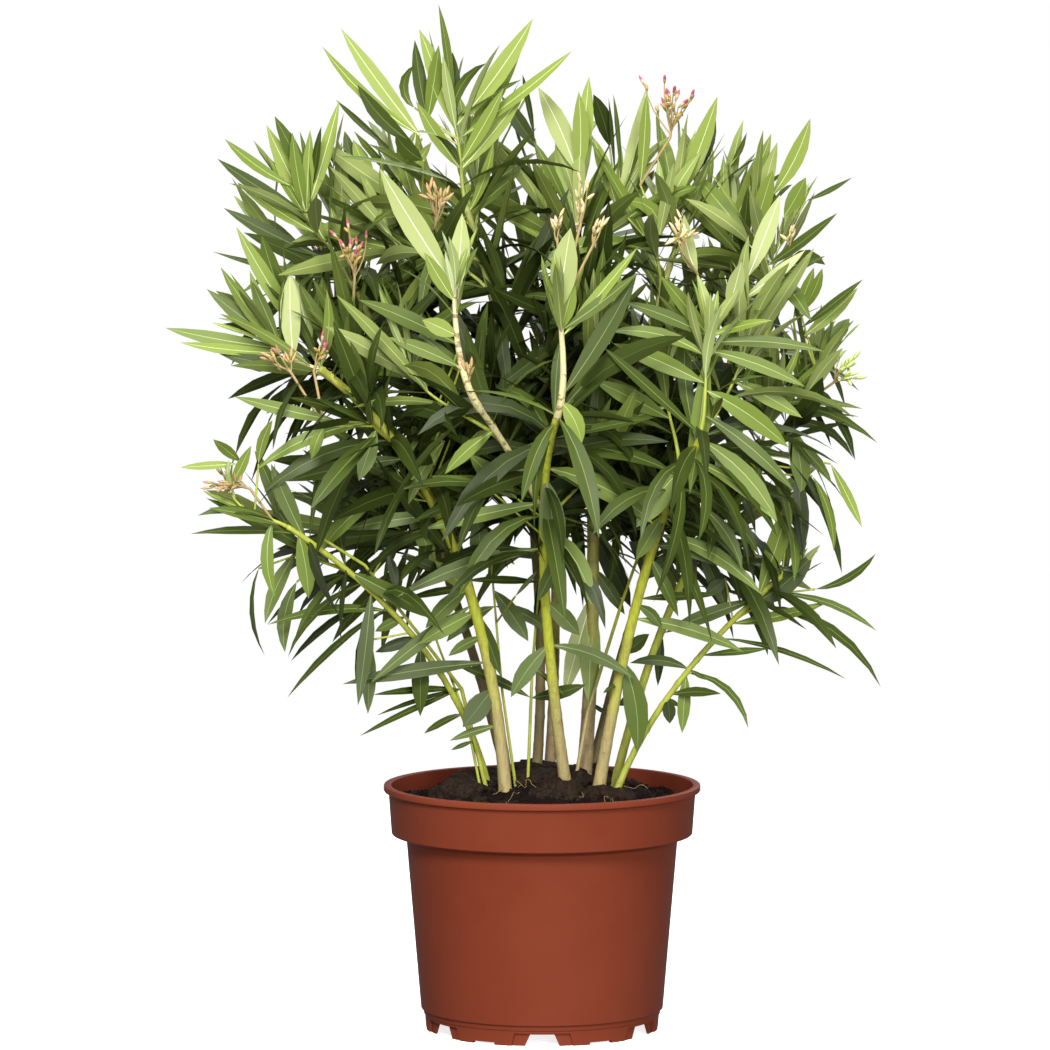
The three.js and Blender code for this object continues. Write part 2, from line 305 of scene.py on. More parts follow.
def panelCutter(bm, cut, turn, inner, outer):
    # a curved block with slanted ends, laid along the foot ring
    halfTop, halfBottom, height = cut
    before = len(bm.verts)
    made = bmesh.ops.create_cube(bm, size=1)["verts"]
    along = {e for v in made for e in v.link_edges if abs(e.verts[0].co.x - e.verts[1].co.x) > 0.5}
    bmesh.ops.subdivide_edges(bm, edges=list(along), cuts=potShape["panelCuts"], use_grid_fill=True)
    bm.verts.ensure_lookup_table()
    for v in bm.verts[before:]:
        half, z = (halfTop, height) if v.co.z > 0 else (halfBottom, potShape["cutBelow"])
        angle = turn + 2 * v.co.x * half / potShape["foot"]
        radius = inner + (0.5 - v.co.y) * (outer - inner)
        v.co = Vector((math.sin(angle) * radius, -math.cos(angle) * radius, z)) * mm


def cutterObject(name, bm):
    bmesh.ops.recalc_face_normals(bm, faces=bm.faces)
    bmesh.ops.translate(bm, verts=bm.verts, vec=potAxis)
    return addObject(name, meshFrom(bm, name), [])


def makeShell(plan):
    # the pot's wall and floor, spun about its axis, with rounded edges
    height, lip = (potHigh.z - potLow.z) / mm, (potHigh.x - potLow.x) / 2 / mm
    wall, floor, foot = plan["wall"], plan["floor"], plan["foot"]
    lipBottom, upright = height - plan["lipDepth"], plan["bandTop"] - wall
    outside = [
        (0, floor), (foot - 2 * wall, floor), (foot - 1.5 * wall, 0), (foot, 0),
        plan["footTop"], plan["ridge"], plan["shoulder"], plan["bandBottom"],
        (plan["bandTop"], lipBottom), (lip, lipBottom + plan["lipRise"]), (lip, height),
    ]
    inside = [
        (upright, height), (upright, height - plan["lipInside"]),
        (plan["bandBottom"][0] - wall, plan["bandBottom"][1] + wall),
        (plan["shoulder"][0] - wall, plan["shoulder"][1] + wall),
        (plan["ridge"][0] - wall, floor + wall), (0, floor + wall),
    ]
    bm = bmesh.new()
    points = [bm.verts.new((radius * mm, 0, z * mm)) for radius, z in outside + inside]
    edges = [bm.edges.new(pair) for pair in zip(points, points[1:])]
    bmesh.ops.spin(bm, geom=points + edges, cent=(0, 0, 0), axis=(0, 0, 1), angle=2 * math.pi,
                   steps=plan["steps"], use_merge=True, use_duplicate=False)
    bmesh.ops.remove_doubles(bm, verts=bm.verts, dist=1e-6)
    bmesh.ops.recalc_face_normals(bm, faces=bm.faces)
    steep = math.radians(plan["roundAngle"])
    corners = [e for e in bm.edges if len(e.link_faces) == 2 and e.calc_face_angle() > steep
               and e.verts[0].co.z > plan["roundFrom"] * mm]
    bmesh.ops.bevel(bm, geom=corners, offset=plan["round"] * mm, offset_type="OFFSET", affect="EDGES",
                    segments=plan["roundSegments"], profile=0.5, material=-1, clamp_overlap=True)
    bmesh.ops.translate(bm, verts=bm.verts, vec=potAxis)
    return addObject("pot_shell", meshFrom(bm, "pot_shell"), [])


def makePot():
    plan = potShape
    pot = makeShell(plan)
    panels, cuts = bmesh.new(), bmesh.new()
    inner, outer = plan["foot"] - plan["cutInside"], plan["foot"] + plan["cutOutside"]
    ring, floor, bore = plan["holeRing"] * mm, plan["floor"] * mm, plan["holeRadius"] * mm
    for i in range(plan["notches"]):
        turn = 2 * math.pi * i / plan["notches"]
        panelCutter(panels, plan["panel"], turn, plan["foot"] - plan["panelDepth"],
                    plan["foot"] + plan["panelOutside"])
        footCutter(cuts, plan["notch"], turn, inner, outer)
        footCutter(cuts, plan["step"], turn + math.pi / plan["notches"], inner, outer)
        hole = bmesh.ops.create_cone(cuts, cap_ends=True, segments=plan["holeSteps"], radius1=bore,
                                     radius2=bore, depth=plan["holeDepth"] * mm)["verts"]
        bmesh.ops.translate(cuts, verts=hole, vec=(ring * math.cos(turn), ring * math.sin(turn), floor))
    for name, cutter in (("panel_cuts", panels), ("foot_cuts", cuts)):
        tool = cutterObject(name, cutter)
        cut = pot.modifiers.new(name, "BOOLEAN")
        cut.operation, cut.solver, cut.object = "DIFFERENCE", "EXACT", tool
        applyModifiers(pot)
        bpy.data.objects.remove(tool)
    for polygon in pot.data.polygons:
        polygon.use_smooth = True
    pot.data.set_sharp_from_angle(angle=math.radians(plan["sharpAngle"]))
    pot.data.materials.clear()
    pot.data.materials.append(mottledMaterial("pot_terracotta", plan["plastic"]))
    finishPiece(pot, "pot_plastic", "pot")


makePot()
print("pot made")


# soil: a bed, big clods listed as (middle, half sizes), small clods and crumbs strewn over it
soilShape = {
    "level": 194, "edge": 187, "edgeRadius": 121, "flatRadius": 78, "mound": 7, "moundRadius": 66,
    "squares": 120, "skirtLevel": 170, "skirtShare": 0.93, "seed": 11,
    "lumps": {"size": 0.045, "height": 3.978, "fineSize": 0.16, "fineHeight": 1.53},
    "clods": {"count": 42, "reach": 112, "size": (3.5, 9), "flat": 0.7},
    "crumbs": {"count": 1500, "reach": 118, "outward": 0.36, "size": (0.8, 2.4), "sunk": 0.3},
    "bigClods": [
        ((16, -46, 193), (25, 24, 19)), ((-66, -26, 194), (23, 18, 15)), ((-52, 14, 200), (22, 18, 13)),
        ((52, -34, 194), (22, 16, 12)), ((-12, -62, 188), (15, 12, 9)), ((-30, -58, 188), (13, 11, 8)),
        ((-4, 8, 202), (28, 20, 12)), ((28, 14, 202), (18, 16, 11)), ((60, -64, 188), (13, 11, 8)),
        ((-6, 46, 204), (22, 18, 12)), ((40, 46, 202), (22, 18, 11)), ((-34, 52, 200), (18, 18, 10)),
    ],
    "soil_dark": {"dark": "#0b0605", "light": "#21150f", "scale": 420, "roughness": 0.95, "specular": 0.1,
                  "bump": 0.9, "grain": 0.0015},
    "soil_clod": {"dark": "#110b09", "light": "#34271d", "scale": 300, "roughness": 0.95, "specular": 0.1,
                  "bump": 0.8, "grain": 0.0012},
    "soil_fine": {"dark": "#0a0605", "light": "#1f140f", "scale": 600, "roughness": 0.95, "specular": 0.1,
                  "bump": 0.8, "grain": 0.0008},
}


def soilHeight(x, y):
    # height of the soil in millimetres above the floor, at a place about the pot's axis
    plan, lumps = soilShape, soilShape["lumps"]
    radius = math.hypot(x, y)
    outer = max(0, (radius - plan["flatRadius"]) / (plan["edgeRadius"] - plan["flatRadius"]))
    height = plan["level"] + (plan["edge"] - plan["level"]) * min(1, outer)
    height += plan["mound"] * math.exp(-(radius / plan["moundRadius"]) ** 2)
    where = Vector((x, y, 3.0))
    height += noise.fractal(where * lumps["size"], 0.9, 2.1, 4) * lumps["height"]
    return height + noise.fractal(where * lumps["fineSize"], 0.8, 2.2, 3) * lumps["fineHeight"]


def roughen(verts, size, amount, seed):
    shift = Vector((seed * 3.1, seed * 1.7, seed * 0.9))
    for v in verts:
        v.co += v.normal * noise.fractal(v.co / size + shift, 0.7, 2.1, 4) * amount


def soilBall(bm, fineness, *layers):
    # a lump of about radius 1; each layer of relief is (size, amount, seed)
    ball = bmesh.ops.create_icosphere(bm, subdivisions=fineness, radius=1)["verts"]
    bm.normal_update()
    for layer in layers:
        roughen(ball, *layer)
    return ball


def finishSoil(bm, name, skin, *nodes):
    bed = addObject(name, meshFrom(bm, name), [mottledMaterial(skin, soilShape[skin])])
    finishPiece(bed, "potting_soil", *nodes)


def makeBed():
    # a square grid drawn into a disc, so that no pole is needed, with a skirt and a flat underside
    plan, reach = soilShape, soilShape["edgeRadius"]
    bm = bmesh.new()
    bmesh.ops.create_grid(bm, x_segments=plan["squares"], y_segments=plan["squares"], size=reach)
    for v in bm.verts:
        x, y = v.co.x / reach, v.co.y / reach
        x, y = x * math.sqrt(1 - y * y / 2) * reach, y * math.sqrt(1 - x * x / 2) * reach
        v.co = place((x, y, soilHeight(x, y)))
    skirt = bmesh.ops.extrude_edge_only(bm, edges=[e for e in bm.edges if e.is_boundary])["geom"]
    for v in skirt:
        if isinstance(v, bmesh.types.BMVert):
            v.co.z = place((0, 0, plan["skirtLevel"])).z
            v.co.xy = potAxis.xy + (v.co.xy - potAxis.xy) * plan["skirtShare"]
    bmesh.ops.contextual_create(bm, geom=[e for e in bm.edges if e.is_boundary])
    bmesh.ops.recalc_face_normals(bm, faces=bm.faces)
    smoothAll(bm)
    finishSoil(bm, "soil_bed", "soil_dark", "soil")


def makeClods(draw):
    plan = soilShape["clods"]
    bm = bmesh.new()
    for i, (where, half) in enumerate(soilShape["bigClods"]):
        for v in soilBall(bm, 4, (1.1, 0.3, i), (0.3, 0.13, i + 40), (0.1, 0.05, i + 60)):
            v.co = place(Vector(where) + v.co * Vector(half))
    for i in range(plan["count"]):
        ball = soilBall(bm, 3, (0.8, 0.6, i + 90))
        radius, turn = plan["reach"] * math.sqrt(draw.random()), draw.uniform(0, 2 * math.pi)
        x, y, size = radius * math.cos(turn), radius * math.sin(turn), draw.uniform(*plan["size"])
        middle, half = Vector((x, y, soilHeight(x, y))), Vector((size, size, size * plan["flat"]))
        for v in ball:
            v.co = place(middle + v.co * half)
    smoothAll(bm)
    finishSoil(bm, "soil_clods", "soil_clod")


def makeCrumbs(draw):
    plan = soilShape["crumbs"]
    bm = bmesh.new()
    for _ in range(plan["count"]):
        crumb = bmesh.ops.create_icosphere(bm, subdivisions=1, radius=1)["verts"]
        radius, turn = plan["reach"] * draw.random() ** plan["outward"], draw.uniform(0, 2 * math.pi)
        x, y, size = radius * math.cos(turn), radius * math.sin(turn), draw.uniform(*plan["size"])
        angle, axis = draw.uniform(0, 6), Vector((draw.random(), draw.random(), draw.random() + 0.1))
        spin = Matrix.Rotation(angle, 3, axis.normalized())
        stretch = Vector((draw.uniform(0.6, 1.4), draw.uniform(0.6, 1.2), draw.uniform(0.5, 1)))
        middle = Vector((x, y, soilHeight(x, y) + size * plan["sunk"]))
        for v in crumb:
            v.co = place(spin @ (v.co * stretch) * size + middle)
    finishSoil(bm, "soil_crumbs", "soil_fine")


def makeSoil():
    draw = random.Random(soilShape["seed"])
    makeBed()
    makeClods(draw)
    makeCrumbs(draw)


makeSoil()
print("soil made")


# limbs: each bends from its foot, or from a share of another limb, past a knee to its head, in millimetres
# about the pot's axis; width is the diameter at both ends, and flare is how much the foot is swollen
limbShapes = {
    "stem_front_left": {"foot": (-30, -25), "knee": (-47, -47, 448), "head": (-180, -60, 548),
                        "width": (10, 6.5), "flare": 0.9, "bark": "green"},
    "stem_back_left": {"foot": (-27, 22), "knee": (-58, 44, 430), "head": (-165, 46, 628),
                       "width": (7, 5), "flare": 0.7, "bark": "brown"},
    "stem_low_left": {"foot": (-44, 6), "knee": (-73, -29, 330), "head": (-206, -74, 421),
                      "width": (5.5, 4.5), "flare": 0.5, "bark": "fresh"},
    "stem_middle": {"foot": (-5, 40), "knee": (14, 36, 430), "head": (-62, 20, 675),
                    "width": (8.5, 5.5), "flare": 0.8, "bark": "brown"},
    "stem_centre": {"foot": (20, -12), "knee": (-14, -70, 440), "head": (12, -135, 515),
                    "width": (9.5, 6), "flare": 0.9, "bark": "green"},
    "stem_thick": {"foot": (34, 26), "knee": (52, 38, 400), "head": (30, 45, 625),
                   "width": (13, 7), "flare": 0.9, "bark": "beige"},
    "stem_front_right": {"foot": (46, -18), "knee": (82, -44, 424), "head": (128, -120, 497),
                         "width": (10, 6), "flare": 0.9, "bark": "green"},
    "stem_right": {"foot": (60, 22), "knee": (109, 24, 410), "head": (208, -8, 505),
                   "width": (7.5, 5), "flare": 0.7, "bark": "fresh"},
    "stem_far_right": {"foot": (62, 0), "knee": (98, -2, 290), "head": (196, -10, 375),
                       "width": (5.5, 4.5), "flare": 0.5, "bark": "fresh"},
    "stem_rear_left": {"foot": (-28, 50), "knee": (-80, 110, 400), "head": (-146, 130, 505),
                       "width": (8.5, 5), "flare": 0.8, "bark": "brown"},
    "stem_back": {"foot": (6, 62), "knee": (18, 130, 380), "head": (4, 182, 440),
                  "width": (9, 5.5), "flare": 0.8, "bark": "beige"},
    "stem_rear_right": {"foot": (40, 56), "knee": (88, 110, 400), "head": (146, 132, 505),
                        "width": (8.5, 5), "flare": 0.8, "bark": "brown"},
    "bough_front_left": {"from": "stem_centre", "at": 0.62, "knee": (-22, -105, 480),
                         "head": (-50, -150, 522), "width": (6, 5), "bark": "cream"},
    "bough_top_right": {"from": "stem_thick", "at": 0.55, "knee": (70, 46, 520), "head": (106, 45, 628),
                        "width": (7, 5), "bark": "beige"},
    "bough_upper_right": {"from": "stem_right", "at": 0.6, "knee": (172, 14, 520), "head": (194, 4, 612),
                          "width": (6, 5), "bark": "fresh"},
    "bough_back_top": {"from": "stem_back", "at": 0.6, "knee": (16, 148, 480), "head": (-8, 142, 600),
                       "width": (6.5, 5), "bark": "beige"},
}


def bend(start, middle, end, t):
    return start * (1 - t) ** 2 + middle * 2 * t * (1 - t) + end * t * t


def limbPoint(name, t):
    # the middle of a limb at a share of its route
    plan = limbShapes[name]
    if "from" in plan:
        start = limbPoint(plan["from"], plan["at"])
    else:
        start = Vector((*plan["foot"], barkShape["footLevel"]))
    return bend(start, Vector(plan["knee"]), Vector(plan["head"]), t)


def routeLength(at, pieces):
    # the length of a route that is given as a place for each share of it
    return sum((at((i + 1) / pieces) - at(i / pieces)).length for i in range(pieces))


def limbLength(name, pieces):
    return routeLength(lambda t: limbPoint(name, t), pieces)


def limbWidth(name, t):
    first, last = limbShapes[name]["width"]
    return first + (last - first) * t


def tubeMesh(name, routes, sides):
    # one mesh of tapered tubes: each route is a list of (point in mm, radius in mm)
    data = bpy.data.curves.new(name, "CURVE")
    data.dimensions, data.bevel_depth, data.use_fill_caps = "3D", 1 * mm, True
    data.bevel_resolution = sides
    for route in routes:
        line = data.splines.new("POLY")
        line.points.add(len(route) - 1)
        for spot, (point, radius) in zip(line.points, route):
            spot.co = (*place(point), 1)
            spot.radius = radius
    holder = bpy.data.objects.new(name, data)
    bpy.context.scene.collection.objects.link(holder)
    graph = bpy.context.evaluated_depsgraph_get()
    mesh = bpy.data.meshes.new_from_object(holder.evaluated_get(graph))
    bpy.data.objects.remove(holder)
    for polygon in mesh.polygons:
        polygon.use_smooth = True
    return mesh


# bark: old and scarred low down, yellow-green where it is young
barkShape = {
    "footLevel": 198, "step": 3.0, "sides": 3, "flareOver": 14, "below": 20, "belowWiden": 0.6,
    "scar": 0.35, "scarEvery": 24, "scarLength": 0.055, "scarAfter": 60,
    "relief": 0.22, "reliefSize": 0.22, "reliefStretch": 0.3,
}
# streaks are (scale, stretch along the limb, detail)
barkLook = {
    "wander": (30, 0.5, 3), "wanderBy": 0.12, "tipFrom": 0.48, "tipOver": 0.16,
    "grain": (420, 0.16, 4), "grainBelow": 0.56, "grainGain": 1.4, "grainTint": "#5b4a2c",
    "specks": (700, 0.45, 2), "specksAbove": 0.66, "specksGain": 9, "specksTint": "#3d2c1b",
    "specksLast": 1.1, "scars": (120, 2.2, 1), "scarsAbove": 0.57, "scarsGain": 14, "scarsTint": "#7d6a45",
    "specular": 0.35, "bump": 0.5, "bumpGrain": 0.0004,
}
# old, young and tip tint, the height in metres where old skin ends and over how much, scars, roughness
barkKinds = {
    "beige": ("#a38e66", "#9f9c4c", "#a9aa60", 0.275, 0.07, 0.35, 0.55),
    "green": ("#a59664", "#aeb434", "#bcbc5c", 0.285, 0.09, 0.2, 0.55),
    "brown": ("#776a45", "#7d7f3c", "#8f984e", 0.36, 0.14, 0.4, 0.55),
    "fresh": ("#a3a84a", "#a3ac3c", "#9ba650", 0.22, 0.05, 0, 0.45),
    "cream": ("#b9b06c", "#c9c088", "#d2c898", 0.4, 0.2, 0.9, 0.5),
    "tan": ("#9c8458", "#a08a5a", "#a38e5e", 0.4, 0.2, 0, 0.5),
}


def makeBarkGroup():
    # young skin above and old bark below, with fine lengthwise streaks, pale scars and dark specks
    look = barkLook
    group, given, result = startGroup("bark", ("Old", "Young", "Tip"), ("Change", "Spread", "Scars"))
    nodes, links = group.nodes, group.links
    where, parts = nodes.new("ShaderNodeTexCoord"), nodes.new("ShaderNodeSeparateXYZ")
    links.new(where.outputs["Object"], parts.inputs[0])
    height = parts.outputs["Z"]

    def feed(sockets, values):
        for socket, value in zip(sockets, values):
            if isinstance(value, (int, float, tuple)):
                socket.default_value = value
            else:
                links.new(value, socket)

    def maths(operation, first, second, clamp=False):
        node = nodes.new("ShaderNodeMath")
        node.operation, node.use_clamp = operation, clamp
        feed(node.inputs, (first, second))
        return node.outputs[0]

    def streaks(scale, stretch, detail):
        squeeze, cloud = nodes.new("ShaderNodeVectorMath"), nodes.new("ShaderNodeTexNoise")
        squeeze.operation = "MULTIPLY"
        feed(squeeze.inputs, (where.outputs["Object"], (1, 1, stretch)))
        feed((cloud.inputs["Vector"], cloud.inputs["Scale"], cloud.inputs["Detail"]),
             (squeeze.outputs[0], scale, detail))
        return cloud.outputs["Fac"]

    def blend(share, first, second):
        node = nodes.new("ShaderNodeMix")
        node.data_type = "RGBA"
        feed((node.inputs["Factor"], node.inputs[6], node.inputs[7]), (share, first, second))
        return node.outputs[2]

    def spots(name):
        # what of a streak pattern stands above a level
        above = maths("SUBTRACT", streaks(*look[name]), look[name + "Above"], True)
        return maths("MULTIPLY", above, look[name + "Gain"], True)

    wander = maths("MULTIPLY", maths("SUBTRACT", streaks(*look["wander"]), 0.5), look["wanderBy"])
    rise = maths("ADD", maths("SUBTRACT", height, given["Change"]), wander)
    youth = maths("ADD", maths("DIVIDE", rise, given["Spread"]), 0.5, True)
    tipShare = maths("DIVIDE", maths("SUBTRACT", height, look["tipFrom"]), look["tipOver"], True)
    base = blend(youth, given["Old"], blend(tipShare, given["Young"], given["Tip"]))
    grain = streaks(*look["grain"])
    dusk = maths("MULTIPLY", maths("SUBTRACT", look["grainBelow"], grain, True), look["grainGain"])
    shaded = blend(dusk, base, linear(look["grainTint"]))
    marked = blend(maths("MULTIPLY", spots("scars"), given["Scars"]), shaded, linear(look["scarsTint"]))
    spotted = maths("MULTIPLY", spots("specks"), maths("SUBTRACT", look["specksLast"], youth, True))
    links.new(blend(spotted, marked, linear(look["specksTint"])), result["Color"])
    links.new(grain, result["Height"])
    return group


bark = makeBarkGroup()


def barkMaterial(kind):
    old, young, tip, change, spread, scars, roughness = barkKinds[kind]
    return groupMaterial("bark_" + kind, bark, {"Old": old, "Young": young, "Tip": tip},
                         {"Change": change, "Spread": spread, "Scars": scars}, roughness,
                         barkLook["specular"], barkLook["bump"], barkLook["bumpGrain"])


barkMaterials = {kind: barkMaterial(kind) for kind in barkKinds}


def limbRoute(name, number):
    # points and radii along a limb, swollen at the foot and a little at every leaf scar
    plan, shape, flare = limbShapes[name], barkShape, limbShapes[name].get("flare", 0)
    length = limbLength(name, 40)
    steps = int(length / shape["step"])
    route = []
    for i in range(steps + 1):
        t = i / steps
        along = t * length
        scar = (along / shape["scarEvery"] + number * 0.37) % 1
        swell = math.exp(-((scar - 0.5) / shape["scarLength"]) ** 2) * min(1, along / shape["scarAfter"])
        radius = limbWidth(name, t) / 2 + flare * math.exp(-along / shape["flareOver"])
        route.append((limbPoint(name, t), radius + shape["scar"] * swell))
    if "foot" in plan:
        first, second = route[0][0], route[1][0]
        below = first + (first - second).normalized() * shape["below"]
        route.insert(0, (below, route[0][1] + shape["belowWiden"]))
    return route


def makeLimbs():
    shape = barkShape
    for number, (name, plan) in enumerate(limbShapes.items()):
        mesh = tubeMesh(name + "_bark", [limbRoute(name, number)], shape["sides"])
        bm = bmesh.new()
        bm.from_mesh(mesh)
        bmesh.ops.remove_doubles(bm, verts=bm.verts, dist=1e-6)
        bm.normal_update()
        shift = Vector((number, 0, 0))
        for v in bm.verts:
            spot = Vector((v.co.x, v.co.y, v.co.z * shape["reliefStretch"])) / mm * shape["reliefSize"]
            v.co += v.normal * noise.fractal(spot + shift, 0.8, 2, 3) * shape["relief"] * mm
        bm.to_mesh(mesh)
        bm.free()
        limb = addObject(name + "_bark", mesh, [barkMaterials[plan["bark"]]])
        finishPiece(limb, "bark" if "foot" in plan else "green_wood", name)


makeLimbs()
print("stems and boughs made")


# leaves: one flat pattern of a few dozen faces, laid along its own bent middle line
leafShape = {
    "rings": (0, 0.04, 0.16, 0.33, 0.5, 0.67, 0.85, 1), "widths": (0, 0.14, 0.52, 0.87, 1, 0.9, 0.51, 0),
    "columns": (-1, -0.5, -0.09, 0.09, 0.5, 1), "thick": 0.35, "sharpAngle": 100,
    "ribBase": 0.43, "ribTip": 0.17, "ribLength": 105, "ribMost": 0.6,
    "bendSteps": 3, "curlFirst": 0.4, "curlMore": 1.2, "foldFirst": 1.25, "foldLess": 0.7, "foldEdge": 0.7,
    "waves": 9, "waveShift": 40,
}


def makeLeafPattern():
    # x is the share across, y the ring, z is -1 inside the underside; both sheets share their outline
    bm = bmesh.new()
    last = len(leafShape["rings"]) - 1
    columns = leafShape["columns"]
    strips = len(columns) - 1
    for layer in (0, -1):
        sheet = bmesh.ops.create_grid(bm, x_segments=strips, y_segments=last, size=1)["verts"]
        for v in sheet:
            column, ring = round((v.co.x + 1) / 2 * strips), round((v.co.y + 1) / 2 * last)
            inner = 0 < column < strips
            v.co = (columns[column], ring, layer if inner else 0) if 0 < ring < last else (0, ring, 0)
    bmesh.ops.remove_doubles(bm, verts=bm.verts, dist=1e-4)
    bmesh.ops.recalc_face_normals(bm, faces=bm.faces)
    for face in bm.faces:
        under = any(v.co.z < 0 for v in face.verts)
        rib = all(abs(v.co.x) < 0.2 for v in face.verts)
        face.material_index = 1 if rib else 2 if under else 0
    return readPattern(bm)


def readPattern(bm):
    # a small mesh as arrays, ready to be laid down many times
    bm.verts.index_update()
    pattern = {
        "points": np.array([v.co for v in bm.verts]),
        "loops": np.array([v.index for face in bm.faces for v in face.verts]),
        "starts": np.cumsum([0] + [len(face.verts) for face in bm.faces])[:-1],
        "slots": np.array([face.material_index for face in bm.faces]),
        "faces": len(bm.faces),
    }
    bm.free()
    return pattern


def joinCopies(name, pattern, points, slotShift):
    # one mesh of many copies of a pattern: points holds every copy's own vertices, in metres
    copies, size = points.shape[:2]
    step, corners = np.arange(copies)[:, None], len(pattern["loops"])
    mesh = bpy.data.meshes.new(name)
    mesh.vertices.add(copies * size)
    mesh.loops.add(copies * corners)
    mesh.polygons.add(copies * pattern["faces"])

    def fill(rows, key, values, kind):
        rows.foreach_set(key, values.astype(kind).ravel())

    fill(mesh.vertices, "co", points, np.float32)
    fill(mesh.loops, "vertex_index", pattern["loops"] + step * size, np.int32)
    fill(mesh.polygons, "loop_start", pattern["starts"] + step * corners, np.int32)
    fill(mesh.polygons, "material_index", pattern["slots"] + slotShift[:, None], np.int32)
    fill(mesh.polygons, "use_smooth", np.ones(copies * pattern["faces"]), bool)
    mesh.update(calc_edges=True)
    mesh.set_sharp_from_angle(angle=math.radians(leafShape["sharpAngle"]))
    return mesh


def unit(rows):
    return rows / np.maximum(np.linalg.norm(rows, axis=1, keepdims=True), 1e-9)


def turned(rows, axes, angles):
    # each row turned about its own axis
    cosine, sine = np.cos(angles)[:, None], np.sin(angles)[:, None]
    along = np.sum(rows * axes, axis=1, keepdims=True) * axes
    return along + (rows - along) * cosine + np.cross(axes, rows) * sine


def columnsOf(leaves, *keys):
    return (np.array([leaf[key] for leaf in leaves], float) for key in keys)


def traceLeaves(leaves):
    # the middle line of every leaf, which bends down, back and sideways as it goes out
    at, ahead, face, pivot = columnsOf(leaves, "base", "ahead", "face", "pivot")
    length, droop, curl, twist, sway = columnsOf(leaves, "length", "droop", "curl", "twist", "sway")
    ownPivot = np.linalg.norm(pivot, axis=1, keepdims=True) > 0.5
    rings, parts = leafShape["rings"], leafShape["bendSteps"]
    down = np.array([[0, 0, -1.0]])
    frames = [(at, ahead, face)]
    for k in range(len(rings) - 1):
        step = (rings[k + 1] - rings[k]) / parts
        bendBack = -curl * step * (leafShape["curlFirst"] + leafShape["curlMore"] * rings[k])
        for _ in range(parts):
            lean = np.cross(ahead, down)
            sink = droop * step * np.linalg.norm(lean, axis=1)
            ahead, face = (turned(rows, unit(lean), sink) for rows in (ahead, face))
            side = unit(np.cross(ahead, face))
            ahead, face = (turned(rows, side, bendBack) for rows in (ahead, face))
            hinge = np.where(ownPivot, pivot, face)
            ahead, face = (turned(rows, hinge, sway * step) for rows in (ahead, face))
            face = turned(face, ahead, twist * step)
            at = at + ahead * (length * step)[:, None]
        frames.append((at, ahead, face))
    return tuple(np.stack([frame[i] for frame in frames], axis=1) for i in range(3))


def layLeaves(leaves, pattern):
    # every leaf's blade laid across its middle line
    shape = leafShape
    middles, aheads, faces = traceLeaves(leaves)
    given = columnsOf(leaves, "length", "width", "fold", "wave")
    length, width, fold, wave = (rows[:, None] for rows in given)
    across, ring, layer = pattern["points"].T
    ring = ring.astype(int)
    share = np.array(shape["rings"])[ring]
    half = width / 2 * np.array(shape["widths"])[ring]
    ribHalf = shape["ribBase"] + (shape["ribTip"] - shape["ribBase"]) * share
    ribHalf = np.minimum(ribHalf * (length / shape["ribLength"]) ** 0.5, half * shape["ribMost"])
    out = np.where(np.abs(across) < 0.2, np.sign(across) * ribHalf, across * half)
    slant = fold * (shape["foldFirst"] - shape["foldLess"] * share)
    slant = slant * np.where(np.abs(across) > 0.9, shape["foldEdge"], 1)
    ripple = np.sin(share * shape["waves"] + fold * shape["waveShift"] + np.sign(across)) * wave
    rise = np.abs(out) * np.sin(slant) + ripple * np.abs(across) + layer * shape["thick"]
    sides = np.cross(aheads, faces)
    points = middles[:, ring] + sides[:, ring] * (out * np.cos(slant))[..., None]
    return np.array(potAxis) + (points + faces[:, ring] * rise[..., None]) * mm


# the leaf colours, from the palest to the darkest: upper face, middle rib, underside. The darkest tones, dark
# and shade, also serve as painted shade for leaves deep in the crown or behind others
leafTones = {
    "tender": ("#9aa467", "#dfe4c4", "#aab584"),
    "fresh": ("#819042", "#c6cf9a", "#93a062"),
    "bright": ("#748438", "#b2bd7e", "#859052"),
    "green": ("#63742d", "#9dab6a", "#748042"),
    "deep": ("#4d5c22", "#83925a", "#606c2e"),
    "dark": ("#3b4816", "#6a7844", "#4d5925"),
    "shade": ("#2b350f", "#4d5a2e", "#3b461a"),
}
toneNames = list(leafTones)
leafFinish = {"upper": (0.44, 0.2), "rib": (0.5, 0.2), "under": (0.7, 0.1)}  # roughness and specular
leafMaterials = [plainMaterial(f"leaf_{tone}_{part}", tint, *leafFinish[part])
                 for tone, tints in leafTones.items() for part, tint in zip(leafFinish, tints)]


# growth: how leaves stand in threes along a shoot, from its growing tip backwards
growth = {
    "perWhorl": 3, "firstGap": 9, "gapGrowth": 1.28, "mostGap": 21, "gapScatter": (0.85, 1.15),
    "firstTurn": (0, 2), "turn": math.pi / 3, "turnScatter": (-0.1, 0.1), "aroundScatter": (-0.22, 0.22),
    "tipAngle": 14, "lowAngle": 72, "angleOver": 105, "anglePower": 0.7, "angleScatter": (-12, 12),
    "skin": 0.6, "tipLength": 0.62, "fullLengthAt": 24, "lengthen": 1.08, "lengthScatter": (0.72, 1.1),
    "widthShare": (0.138, 0.113), "widthOver": 90, "widthScatter": (0.8, 1.3),
    "tipDroop": 2, "lowDroop": 66, "droopOver": 140, "droopScatter": (0.2, 1.7),
    "curl": (-10, 26), "twist": 45, "sway": 16, "fold": (4, 16), "wave": (0, 0.6),
    "loss": 0.12, "lossAfter": 40, "leafy": 165, "leafyShare": 0.97,
    "crownMiddle": (0, 0, 520), "crownHalf": (285, 235, 320), "shadeDepth": 0.82, "shadeTone": 5,
    "ageTone": 2.4, "ageOver": 90, "toneScatter": 0.7,
    "limbGap": 16, "limbGapScatter": (0.8, 1.3), "limbAround": (-0.3, 0.3), "limbLoss": 0.18,
    "limbSize": 112, "limbAge": 90,
}

